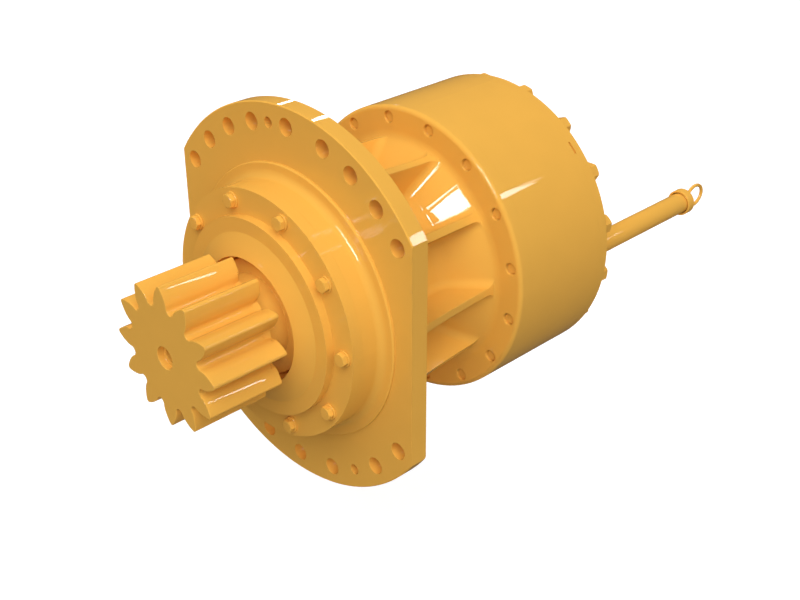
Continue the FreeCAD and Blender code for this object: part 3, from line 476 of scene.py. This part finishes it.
@dataclass
class PaintShop:
    """Gives every node and piece the finish of its slot in the record, or a node its own."""

    materials: dict[Slot, bpy.types.Material]
    own: dict[str, bpy.types.Material]

    def coat_nodes(self) -> None:
        """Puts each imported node's finish on it."""
        slots = {part["node"]: Slot(part["material_slot"]) for part in frame["record"]["subparts"]}
        for name, node in frame["nodes"].items():
            node.data.materials.clear()
            node.data.materials.append(self.own.get(name, self.materials[slots[name]]))
        log.info("finished %d nodes", len(slots))

    def coat_piece(self, piece: bpy.types.Object, slot: Slot) -> None:
        """Puts a slot's finish on a new piece.

        Args:
            piece: the new piece.
            slot: the record's slot.
        """
        piece.data.materials.clear()
        piece.data.materials.append(self.materials[slot])


@dataclass(frozen=True)
class SoftBox:
    """A rectangular studio light, seen in gloss only, given by the angles that it fills."""

    name: str
    azimuth: float
    elevation: float
    across: float
    upward: float
    radiance: float
    distance: float = 30.0

    def build(self, target: Vector) -> bpy.types.Object:
        """Hangs the light.

        The width is twice the distance times the tangent of half the angle from side to side,
        which is the span of azimuth times the cosine of the elevation. The height is the same of
        the angle from bottom to top. The power is the radiance times pi times the light's area.

        Args:
            target: the point that the light faces.

        Returns:
            The light's object.
        """
        outward = direction(self.azimuth, self.elevation)
        lamp = bpy.data.lights.new(self.name, "AREA")
        lamp.shape = "RECTANGLE"
        side = self.across * math.cos(math.radians(self.elevation))
        lamp.size = 2.0 * self.distance * math.tan(math.radians(side) / 2.0)
        lamp.size_y = 2.0 * self.distance * math.tan(math.radians(self.upward) / 2.0)
        lamp.energy = self.radiance * math.pi * lamp.size * lamp.size_y
        made = bpy.data.objects.new(self.name, lamp)
        bpy.context.scene.collection.objects.link(made)
        made.location = target + outward * self.distance
        made.rotation_euler = outward.to_track_quat("Z", "Y").to_euler()
        made.visible_camera = False
        made.visible_diffuse = False
        return made


@dataclass(frozen=True)
class SkyGlow:
    """A broad patch of soft sky light: where its middle is and how bright it is."""

    name: str
    azimuth: float
    elevation: float
    radiance: float


@dataclass
class Studio:
    """Camera at the photograph's viewpoint, pale floor, soft even light and a few soft boxes."""

    camera_place: Vector = field(default_factory=lambda: Vector((1.2373, -1.0193, 0.8695)))
    camera_azimuth: float = 45.1255
    camera_elevation: float = 28.5524
    camera_roll: float = -0.0934
    lens: float = 57.83
    sensor: float = 36.0
    floor_height: float = -0.75
    floor_half_width: float = 14.0
    floor_roughness: float = 0.9
    floor_specular: float = 0.1
    floor_glow: float = 0.25
    floor_mottle: float = 1.5
    floor_dark: float = 0.93
    floor_light: float = 0.97
    backdrop_light: float = 1.0
    gloss_light: float = 0.07
    least_light: float = 0.03
    glow_power: float = 12.0
    rear_fill: float = 1.2
    rear_fill_power: float = 2.5
    light_target: Vector = field(default_factory=lambda: Vector((0.0, 0.2, 0.1)))
    glows: tuple[SkyGlow, ...] = (
        SkyGlow("left", -60.0, 50.0, 1.10),
        SkyGlow("front", 20.0, 50.0, 2.39),
        SkyGlow("right", 65.0, 50.0, 3.19),
        SkyGlow("front low", 35.0, 20.0, 1.08),
        SkyGlow("right low", 70.0, 20.0, 1.02),
        SkyGlow("below front", 20.0, -50.0, 0.77),
        SkyGlow("below rear", 160.0, -50.0, 1.50),
        SkyGlow("over the drum", -110.0, 25.0, 2.63),
    )
    boxes: tuple[SoftBox, ...] = (
        SoftBox("front key", 26.4, 35.5, 13.0, 20.5, 34.7),
        SoftBox("front strip", 15.4, 45.0, 5.6, 16.0, 24.0),
        SoftBox("rear key", 140.0, 29.2, 8.8, 2.6, 13.3),
        SoftBox("rear key edge", 144.9, 29.3, 1.0, 1.4, 4.0),
        SoftBox("rear spot", -140.0, 36.0, 4.0, 2.0, 18.6),
        SoftBox("rear low spot", -128.5, 16.0, 3.0, 2.0, 16.0),
        SoftBox("rear thin line", 160.0, 51.0, 16.0, 0.5, 16.0),
        SoftBox("side line", 124.8, 27.5, 1.1, 15.0, 18.6),
    )

    def build(self) -> None:
        """Sets up the camera, the sky, the floor and the lights."""
        self.place_camera()
        self.spread_sky()
        self.lay_floor()
        for box in self.boxes:
            box.build(self.light_target)
        view = bpy.context.scene.view_settings
        view.view_transform = "Standard"
        log.info("studio: %d soft boxes", len(self.boxes))

    def place_camera(self) -> None:
        """Sets the camera by its azimuth, elevation and roll."""
        back = direction(self.camera_azimuth, self.camera_elevation)
        right = direction(self.camera_azimuth + 90.0, 0.0)
        up = back.cross(right)
        turn = Matrix((right, up, back)).transposed()
        turn = turn @ Matrix.Rotation(math.radians(self.camera_roll), 3, "Z")
        lens = bpy.data.cameras.new("photograph viewpoint")
        lens.lens = self.lens
        lens.sensor_width = self.sensor
        lens.sensor_fit = "HORIZONTAL"
        made = bpy.data.objects.new("photograph viewpoint", lens)
        made.matrix_world = Matrix.Translation(self.camera_place) @ turn.to_4x4()
        bpy.context.scene.collection.objects.link(made)
        bpy.context.scene.camera = made

    def spread_sky(self) -> None:
        """Gives the world a white backdrop, dark gloss and a soft light from a few broad glows.

        The soft light is the least light, plus each glow times a power of the cosine of the angle
        from its middle, plus the same with the rear fill, which lies opposite to the camera.
        """
        world = bpy.data.worlds.new("studio sky")
        world.use_nodes = True
        tree = world.node_tree
        rays = tree.nodes.new("ShaderNodeLightPath")
        place = tree.nodes.new("ShaderNodeTexCoord")
        rear = -direction(self.camera_azimuth, self.camera_elevation)

        def join(operation: str, *values: object) -> bpy.types.NodeSocket:
            """Adds a Math node to the world from sockets or numbers."""
            made = tree.nodes.new("ShaderNodeMath")
            made.operation = operation
            for socket, value in zip(made.inputs, values):
                if isinstance(value, bpy.types.NodeSocket):
                    tree.links.new(value, socket)
                else:
                    socket.default_value = value
            return made.outputs[0]

        def cosine(axis: Vector) -> bpy.types.NodeSocket:
            """Adds the cosine of the angle between the looked-at direction and an axis."""
            made = tree.nodes.new("ShaderNodeVectorMath")
            made.operation = "DOT_PRODUCT"
            tree.links.new(place.outputs["Generated"], made.inputs[0])
            made.inputs[1].default_value = axis
            return made.outputs["Value"]

        lobes = [(direction(glow.azimuth, glow.elevation), self.glow_power, glow.radiance)
                 for glow in self.glows]
        lobes.append((rear, self.rear_fill_power, self.rear_fill))
        soft: object = self.least_light
        for axis, power, radiance in lobes:
            lobe = join("POWER", join("MAXIMUM", cosine(axis), 0.0), power)
            soft = join("MULTIPLY_ADD", lobe, radiance, soft)
        levels = {"Is Glossy Ray": self.gloss_light, "Is Camera Ray": self.backdrop_light}
        for ray, level in levels.items():
            chosen = tree.nodes.new("ShaderNodeMix")
            tree.links.new(rays.outputs[ray], chosen.inputs["Factor"])
            tree.links.new(soft, chosen.inputs["A"])
            chosen.inputs["B"].default_value = level
            soft = chosen.outputs["Result"]
        ground = tree.nodes["Background"]
        ground.inputs["Color"].default_value = (1.0, 1.0, 1.0, 1.0)
        tree.links.new(soft, ground.inputs["Strength"])
        bpy.context.scene.world = world

    def lay_floor(self) -> None:
        """Lays a pale floor below the drive, with a faint mottle."""
        sides = np.array([-1.0, 1.0]) * self.floor_half_width
        x, y = np.meshgrid(sides, sides, indexing="ij")
        points = np.stack([x, y, np.full_like(x, self.floor_height)], axis=-1)
        floor = grid_piece("floor", points)
        made = bpy.data.materials.new("pale floor")
        made.use_nodes = True
        nodes = made.node_tree.nodes
        shader = nodes["Principled BSDF"]
        shader.inputs["Roughness"].default_value = self.floor_roughness
        shader.inputs["Specular IOR Level"].default_value = self.floor_specular
        shader.inputs["Emission Color"].default_value = (1.0, 1.0, 1.0, 1.0)
        shader.inputs["Emission Strength"].default_value = self.floor_glow
        noise = nodes.new("ShaderNodeTexNoise")
        noise.inputs["Scale"].default_value = self.floor_mottle
        place = nodes.new("ShaderNodeTexCoord")
        ramp = nodes.new("ShaderNodeMapRange")
        ramp.inputs["To Min"].default_value = self.floor_dark
        ramp.inputs["To Max"].default_value = self.floor_light
        links = made.node_tree.links
        links.new(place.outputs["Object"], noise.inputs["Vector"])
        links.new(noise.outputs["Fac"], ramp.inputs["Value"])
        links.new(ramp.outputs["Result"], shader.inputs["Base Color"])
        floor.data.materials.append(made)
        floor.visible_diffuse = False
        floor.visible_glossy = False


def direction(azimuth: float, elevation: float) -> Vector:
    """Gives the unit vector of two angles: azimuth 0 is -Y, azimuth 90 is +X, elevation 90 is +Z.

    Args:
        azimuth: degrees round the vertical.
        elevation: degrees above level.

    Returns:
        The unit vector.
    """
    az = math.radians(azimuth)
    el = math.radians(elevation)
    return Vector((math.sin(az) * math.cos(el), -math.cos(az) * math.cos(el), math.sin(el)))


def grid_piece(name: str, points: np.ndarray) -> bpy.types.Object:
    """Makes a surface, or several alike, from grids of points.

    Each cell between two rows and two columns is one quad. Points that meet, as at a seam or a
    pole, are then joined, and the faces are turned outwards.

    Args:
        name: the piece's name.
        points: array of shape (rows, columns, 3) or (copies, rows, columns, 3).

    Returns:
        The new object.
    """
    copies = points.reshape(-1, *points.shape[-3:])
    count, rows, columns = copies.shape[:3]
    index = np.arange(count * rows * columns).reshape(count, rows, columns)
    corners = [index[:, :-1, :-1], index[:, :-1, 1:], index[:, 1:, 1:], index[:, 1:, :-1]]
    faces = np.stack(corners, axis=-1).reshape(-1, 4)
    mesh = bpy.data.meshes.new(name)
    mesh.vertices.add(index.size)
    mesh.vertices.foreach_set("co", copies.reshape(-1).astype(np.float32))
    mesh.loops.add(faces.size)
    mesh.loops.foreach_set("vertex_index", faces.reshape(-1).astype(np.int32))
    mesh.polygons.add(len(faces))
    mesh.polygons.foreach_set("loop_start", np.arange(0, faces.size, 4, dtype=np.int32))
    mesh.polygons.foreach_set("loop_total", np.full(len(faces), 4, dtype=np.int32))
    mesh.update(calc_edges=True)
    work = bmesh.new()
    work.from_mesh(mesh)
    bmesh.ops.remove_doubles(work, verts=work.verts, dist=JOIN_DISTANCE)
    bmesh.ops.dissolve_degenerate(work, edges=work.edges, dist=SLIVER)
    bmesh.ops.recalc_face_normals(work, faces=work.faces)
    work.to_mesh(mesh)
    work.free()
    made = bpy.data.objects.new(name, mesh)
    bpy.context.scene.collection.objects.link(made)
    return made


def smooth(piece: bpy.types.Object, sharp_angle: float = 35.0) -> None:
    """Shades a piece smooth, with its sharp edges kept.

    Args:
        piece: the piece.
        sharp_angle: the least angle of an edge that stays sharp, in degrees.
    """
    mesh = piece.data
    mesh.polygons.foreach_set("use_smooth", np.ones(len(mesh.polygons), dtype=bool))
    mesh.set_sharp_from_angle(angle=math.radians(sharp_angle))


def break_edges(piece: bpy.types.Object, width: float, angle: float = 30.0) -> None:
    """Rounds a piece's sharp edges and keeps its flat faces flat in the light.

    Args:
        piece: the piece.
        width: how wide each rounded edge is, in metres.
        angle: the least angle of an edge that is rounded, in degrees.
    """
    mesh = piece.data
    mesh.polygons.foreach_set("use_smooth", np.ones(len(mesh.polygons), dtype=bool))
    rounding = piece.modifiers.new("rounded edges", "BEVEL")
    rounding.width = width
    rounding.segments = 2
    rounding.limit_method = "ANGLE"
    rounding.angle_limit = math.radians(angle)
    rounding.use_clamp_overlap = False
    even = piece.modifiers.new("flat faces", "WEIGHTED_NORMAL")
    even.keep_sharp = True


def rounded_profile(corners: list[tuple[float, float]], radius: float,
                    closed: bool = False, steps: int = 3) -> np.ndarray:
    """Rounds the corners of a profile.

    Each corner gives way to a curve that starts and ends a radius away on its two sides, or at
    most of a short side: the start times (1 - t) squared, the corner times 2 t (1 - t), and the
    end times t squared, summed. An open profile keeps its two ends.

    Args:
        corners: the profile's corners, as (distance from the axis, place along it).
        radius: how far from each corner the curve starts, in the same unit.
        closed: whether the profile joins up.
        steps: how many pieces each curve has.

    Returns:
        Array of points (n, 2). A closed profile ends on its first point.
    """
    points = np.array(corners, dtype=float)
    before = np.roll(points, 1, axis=0) - points
    after = np.roll(points, -1, axis=0) - points
    span_before = np.linalg.norm(before, axis=1, keepdims=True)
    span_after = np.linalg.norm(after, axis=1, keepdims=True)
    start = points + before / span_before * np.minimum(radius, span_before * SIDE_SHARE)
    end = points + after / span_after * np.minimum(radius, span_after * SIDE_SHARE)
    t = np.linspace(0.0, 1.0, steps + 1)[None, :, None]
    curves = (start[:, None] * (1 - t) ** 2 + 2 * points[:, None] * t * (1 - t)
              + end[:, None] * t ** 2)
    if closed:
        return np.concatenate([curves.reshape(-1, 2), curves[0, :1]])
    return np.concatenate([points[:1], curves[1:-1].reshape(-1, 2), points[-1:]])


def turned(profile: np.ndarray, turns: int = TURNS) -> np.ndarray:
    """Turns a profile round the Y axis: x is r cos a, y is the place along it, z is r sin a.

    Args:
        profile: array of points (n, 2), as (distance from the axis, place along it).
        turns: how many steps a full turn has.

    Returns:
        Array of shape (n, turns + 1, 3).
    """
    angle = np.linspace(0.0, 2.0 * np.pi, turns + 1)[None, :]
    radius = profile[:, :1]
    along = np.broadcast_to(profile[:, 1:], (len(profile), turns + 1))
    return np.stack([radius * np.cos(angle), along, radius * np.sin(angle)], axis=-1)


@dataclass(frozen=True)
class BoltCircle:
    """Where the fasteners of one circle stand, in millimetres and degrees."""

    count: int
    radius: float
    first: float
    seat: float
    end: End
    seed: int = 5

    def spread(self, surface: np.ndarray, at: float = 0.0, twist: bool = False) -> np.ndarray:
        """Copies a surface onto the circle.

        The surface lies on the seat, with its head towards +Y. Each copy is turned about its own
        axis, flipped to the circle's end, and moved out to its place.

        Args:
            surface: array (rows, columns, 3) in millimetres.
            at: how far off the seat the copies stand, in millimetres.
            twist: whether each copy is turned by its own amount, as tightened heads are.

        Returns:
            Array (count, rows, columns, 3) in millimetres.
        """
        place = np.radians(self.first + np.arange(self.count) * 360.0 / self.count)
        draw = np.random.default_rng(self.seed).uniform(0.0, np.pi / 3.0, self.count)
        turn = (draw if twist else np.zeros(self.count))[:, None, None]
        x = surface[None, ..., 0] * np.cos(turn) - surface[None, ..., 2] * np.sin(turn)
        z = surface[None, ..., 0] * np.sin(turn) + surface[None, ..., 2] * np.cos(turn)
        y = np.broadcast_to(self.seat + self.end.value * (surface[None, ..., 1] + at), x.shape)
        x = x + (self.radius * np.cos(place))[:, None, None]
        z = z + (self.radius * np.sin(place))[:, None, None]
        return np.stack([x, y, z], axis=-1)


@dataclass(frozen=True)
class HexHead:
    """A hexagon bolt, plug or nut, in millimetres: a chamfered head, and a shank or a bore.

    The shank is given by its radius, which for a nut is the bore's.
    """

    flats: float
    height: float
    shank: float
    length: float = 0.0
    bored: bool = False
    flat_share: float = 0.93
    chamfer_slope: float = 0.5
    tip_chamfer: float = 1.0

    def surface(self) -> np.ndarray:
        """Works out the head and its shank, or the nut and its bore.

        The head's edge at an angle is half the flats over the cosine of the angle from the middle
        of its side. Its chamfer is a cone: it starts at the flat share of half the flats, and
        falls by the slope times what it goes outwards. A bolt's rings end at its axis, under a
        chamfered tip, and a nut's at its bore.

        Returns:
            Array (rings, TURNS + 1, 3), seat at 0 and head towards +Y.
        """
        angle = np.linspace(0.0, 2.0 * np.pi, TURNS + 1)
        side = np.mod(angle, np.pi / 3.0) - np.pi / 6.0
        edge = self.flats / 2.0 / np.cos(side)
        flat = self.flats / 2.0 * self.flat_share
        fall = self.height - (edge - flat) * self.chamfer_slope
        centre = self.shank if self.bored else 0.0
        rings = [(centre, self.height), (flat, self.height), (edge, fall), (edge, 0.0),
                 (self.shank, 0.0)]
        if self.bored:
            rings.append((self.shank, self.height))
        else:
            rings += [(self.shank, self.tip_chamfer - self.length),
                      (self.shank - self.tip_chamfer, -self.length), (0.0, -self.length)]
        radius = np.stack([np.broadcast_to(ring[0], angle.shape) for ring in rings])
        along = np.stack([np.broadcast_to(ring[1], angle.shape) for ring in rings])
        return np.stack([radius * np.cos(angle), along, radius * np.sin(angle)], axis=-1)


@dataclass(frozen=True)
class Washer:
    """A flat washer with rounded rims, in millimetres."""

    bore: float
    radius: float
    thickness: float
    rounding: float = 0.7

    def surface(self) -> np.ndarray:
        """Turns the washer's closed, rounded profile round Y.

        Returns:
            Array (points, TURNS + 1, 3), seat at 0.
        """
        corners = [(self.bore, 0.0), (self.bore, self.thickness),
                   (self.radius, self.thickness), (self.radius, 0.0)]
        return turned(rounded_profile(corners, self.rounding, closed=True))


@dataclass(frozen=True)
class FastenerSet:
    """Fasteners that are alike, each on its own washer, and the nodes that they stand for."""

    node: str
    washer_node: str
    circle: BoltCircle
    head: HexHead
    washer: Washer


@dataclass
class Fasteners:
    """Bolts, washers and the filler plug, with chamfered heads and rounded washers."""

    shop: PaintShop
    edge: float = 0.45
    retainer: FastenerSet = FastenerSet(
        node="retainer_bolts", washer_node="retainer_washers",
        circle=BoltCircle(count=10, radius=166.3, first=0.0, seat=-56.0, end=End.PINION),
        head=HexHead(flats=18.5, height=7.5, shank=6.0, length=46.0),
        washer=Washer(bore=6.3, radius=12.0, thickness=2.5))
    cover: FastenerSet = FastenerSet(
        node="cover_bolts", washer_node="cover_washers",
        circle=BoltCircle(count=16, radius=207.7995, first=11.25, seat=430.65, end=End.MOTOR,
                          seed=8),
        head=HexHead(flats=27.0, height=14.0, shank=8.0, length=201.35),
        washer=Washer(bore=8.3, radius=15.0, thickness=3.0))
    plug: FastenerSet = FastenerSet(
        node="filler_plug", washer_node="plug_washer",
        circle=BoltCircle(count=1, radius=165.746, first=172.0, seat=430.65, end=End.MOTOR,
                          seed=3),
        head=HexHead(flats=30.0, height=12.0, shank=13.0, length=20.4),
        washer=Washer(bore=13.3, radius=20.0, thickness=2.4))

    def build(self) -> None:
        """Makes every fastener that shows, and the washer under it."""
        for alike in (self.retainer, self.cover, self.plug):
            heads = alike.circle.spread(alike.head.surface(), alike.washer.thickness, twist=True)
            washers = alike.circle.spread(alike.washer.surface())
            dress_node(alike.node, heads, self.shop, self.edge)
            dress_node(alike.washer_node, washers, self.shop)


def dress_node(node: str, points: np.ndarray, shop: PaintShop, edge: float = 0.0) -> None:
    """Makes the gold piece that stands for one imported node.

    Args:
        node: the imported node.
        points: the grid or grids of its points, in millimetres.
        shop: who paints it.
        edge: how wide a hexagon's rounded edges are, in millimetres, or 0 for a turned piece.
    """
    piece = grid_piece(f"dressed_{node}", points * MM)
    if edge > 0.0:
        break_edges(piece, edge * MM, HEX_EDGE_ANGLE)
    else:
        smooth(piece)
    stand_in(piece, node, shop, Slot.GOLD_PAINT)


def stand_in(piece: bpy.types.Object, node: str, shop: PaintShop, slot: Slot) -> None:
    """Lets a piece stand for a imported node, on the node's body and in its finish.

    Args:
        piece: the new piece.
        node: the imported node.
        shop: who paints it.
        slot: the slot of its finish.
    """
    shop.coat_piece(piece, slot)
    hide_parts(node)
    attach(piece, frame["nodes"][node]["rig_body"])
    log.info("%s stands for %s", piece.name, node)


@dataclass
class Dipstick:
    """Tube, locknut, cap and pull eye, in millimetres from the tube's own axis."""

    shop: PaintShop
    x: float = 163.9995
    z: float = -24.0
    tube_start: float = 434.0
    tube_end: float = 722.0
    tube_radius: float = 17.0
    tube_bore: float = 13.6
    nut_start: float = 446.0
    nut_height: float = 12.0
    nut_flats: float = 46.0
    nut_edge: float = 0.6
    tube_rounding: float = 0.8
    cap_start: float = 712.0
    cap_rim: float = 727.8
    cap_top: float = 728.8
    cap_radius: float = 21.5
    cap_bore: float = 18.3
    crown_share: float = 0.5
    cap_rounding: float = 1.2
    stopper_end: float = 708.3
    fit_gap: float = 0.3
    eye_radius: float = 21.4
    eye_height: float = 17.6
    eye_centre: float = 759.0
    eye_foot: float = 726.0
    eye_half_turn: float = 144.0
    foot_offset: float = 6.5
    wire_radius: float = 2.85

    def build(self) -> None:
        """Makes the tube, its nut, the cap and the eye."""
        corners = [(self.tube_bore, self.tube_start), (self.tube_bore, self.tube_end),
                   (self.tube_radius, self.tube_end), (self.tube_radius, self.tube_start)]
        tube = rounded_profile(corners, self.tube_rounding, closed=True)
        self.dress("dipstick_tube", turned(tube))
        nut = HexHead(self.nut_flats, self.nut_height, self.tube_radius + self.fit_gap, bored=True)
        self.dress("tube_locknut", nut.surface() + (0.0, self.nut_start, 0.0), self.nut_edge)
        self.dress("dipstick_cap", turned(self.cap_profile()))
        self.dress("dipstick_ring", self.eye_surface())

    def cap_profile(self) -> np.ndarray:
        """Gives the cap's half section: flat crown, rounded rim, skirt, bore and stopper.

        Returns:
            Array of points (n, 2), as (distance from the tube's axis, place along it).
        """
        stopper = self.tube_bore - self.fit_gap
        under = self.tube_end + self.fit_gap
        crown = self.cap_radius * self.crown_share
        corners = [(0.0, self.cap_top), (crown, self.cap_top),
                   (self.cap_radius, self.cap_rim), (self.cap_radius, self.cap_start),
                   (self.cap_bore, self.cap_start), (self.cap_bore, under), (stopper, under),
                   (stopper, self.stopper_end), (0.0, self.stopper_end)]
        return rounded_profile(corners, self.cap_rounding, steps=4)

    def eye_surface(self, steps: int = 72, sides: int = 14) -> np.ndarray:
        """Carries a round wire along the eye: two legs and the loop between them.

        The loop is part of an ellipse in the upright plane: it runs through the half turn's angle
        on each side of its far end. Each leg runs straight from there to its foot in the cap. The
        wire's circle stands square to the path.

        Args:
            steps: points along the loop.
            sides: points round the wire.

        Returns:
            Array (points along the path, sides + 1, 3).
        """
        half_turn = math.radians(self.eye_half_turn)
        angle = np.linspace(-half_turn, half_turn, steps)
        along = self.eye_centre + self.eye_radius * np.cos(angle)
        across = self.eye_height * np.sin(angle)
        foot = np.array([[self.eye_foot, -self.foot_offset]])
        loop = np.stack([along, across], axis=1)
        path = np.concatenate([foot, loop, foot * (1.0, -1.0)])
        step = np.gradient(path, axis=0)
        step /= np.linalg.norm(step, axis=1, keepdims=True)
        out = np.stack([step[:, 1], -step[:, 0]], axis=1)
        turn = np.linspace(0.0, 2.0 * np.pi, sides + 1)[None, :]
        lift = self.wire_radius * np.cos(turn)
        y = path[:, :1] + out[:, :1] * lift
        z = path[:, 1:] + out[:, 1:] * lift
        x = np.broadcast_to(self.wire_radius * np.sin(turn), y.shape)
        wire = np.stack([x, y, z], axis=-1)
        first = np.broadcast_to(wire[:1].mean(axis=1, keepdims=True), wire[:1].shape)
        last = np.broadcast_to(wire[-1:].mean(axis=1, keepdims=True), wire[-1:].shape)
        return np.concatenate([first, wire, last])

    def dress(self, node: str, points: np.ndarray, edge: float = 0.0) -> None:
        """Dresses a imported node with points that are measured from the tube's axis."""
        dress_node(node, points + (self.x, 0.0, self.z), self.shop, edge)


@dataclass
class Pinion:
    """The pinion shaft, in millimetres: its teeth's edges rounded and its collar drawn in."""

    shop: PaintShop
    node: str = "pinion_shaft"
    edge: float = 0.8
    flat_angle: float = 0.5
    root_radius: float = 72.5
    shoulder_radius: float = 75.5
    collar_radius: float = 85.0
    slim_radius: float = 66.0
    flank_end: float = -116.0
    run_out_start: float = -114.4
    collar_start: float = -101.4
    slim_start: float = -98.5
    slim_end: float = -66.5
    lip_start: float = -62.5
    hole_radius: float = 18.5
    hole_end: float = -150.0
    hole_share: float = 0.9
    weld: float = 0.002
    place_slack: float = 0.1
    radius_slack: float = 0.4

    def build(self) -> None:
        """Copies the forging, joins its triangles into flat faces and rounds its sharp edges."""
        work = bmesh.new()
        work.from_mesh(frame["nodes"][self.node].data)
        bmesh.ops.remove_doubles(work, verts=work.verts, dist=self.weld * MM)
        bmesh.ops.dissolve_limit(work, angle_limit=math.radians(self.flat_angle),
                                 verts=work.verts, edges=work.edges)
        for cut in (self.flank_end, self.slim_start, self.slim_end, self.lip_start):
            bmesh.ops.bisect_plane(work, geom=[*work.verts, *work.edges, *work.faces],
                                   plane_co=(0.0, cut * MM, 0.0), plane_no=(0.0, 1.0, 0.0))
        mesh = bpy.data.meshes.new(f"dressed_{self.node}")
        work.to_mesh(mesh)
        work.free()
        self.draw_in(mesh)
        piece = bpy.data.objects.new(mesh.name, mesh)
        bpy.context.scene.collection.objects.link(piece)
        break_edges(piece, self.edge * MM)
        stand_in(piece, self.node, self.shop, Slot.GOLD_PAINT)

    def draw_in(self, mesh: bpy.types.Mesh) -> None:
        """Draws the collar in between the teeth and the seal, and narrows the centre hole.

        Points on the run-out cone and on the collar keep their angle and their place along the
        axis. On the cone, their height over the root shrinks by the ratio of the shoulder's
        height to the full collar's. Behind the shoulder they go in to the slim radius. Points in
        the centre hole come nearer to the axis by one share.

        Args:
            mesh: the shaft's mesh, in metres.
        """
        points = np.empty(len(mesh.vertices) * 3, dtype=np.float32)
        mesh.vertices.foreach_get("co", points)
        points = points.reshape(-1, 3).astype(float)
        radius = np.hypot(points[:, 0], points[:, 2]) / MM
        along = points[:, 1] / MM
        height = self.collar_radius - self.root_radius
        slope = height / (self.collar_start - self.run_out_start)
        cone = self.root_radius + (along - self.run_out_start) * slope
        level = np.minimum(cone, self.collar_radius)
        moved = along > self.run_out_start + self.place_slack
        moved &= along < self.slim_end + self.place_slack
        moved &= np.abs(radius - level) < self.radius_slack
        share = (self.shoulder_radius - self.root_radius) / height
        low = self.root_radius + (radius - self.root_radius) * share
        behind = along > self.slim_start - self.place_slack
        target = np.where(behind, self.slim_radius, low)
        scale = np.where(moved, target / np.maximum(radius, self.radius_slack), 1.0)
        hole = (radius < self.hole_radius) & (along < self.hole_end)
        scale = np.where(hole, self.hole_share, scale)
        points[:, 0] *= scale
        points[:, 2] *= scale
        mesh.vertices.foreach_set("co", points.reshape(-1).astype(np.float32))
        mesh.update()
        log.info("collar drawn in at %d points", int(moved.sum()))


def main() -> None:
    """Builds the finishes, the dressed pieces and the studio, in order."""
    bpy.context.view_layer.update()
    groups = shader_groups()
    slots = {slot: finish.material(groups) for slot, finish in FINISHES.items()}
    own = {node: finish.material(groups) for node, finish in NODE_FINISHES.items()}
    shop = PaintShop(slots, own)
    shop.coat_nodes()
    for assembly in (Pinion(shop), Fasteners(shop), Dipstick(shop)):
        assembly.build()
    Studio().build()


if __name__ == "__main__":
    logging.basicConfig(level=logging.INFO, format="%(name)s: %(message)s")
    main()
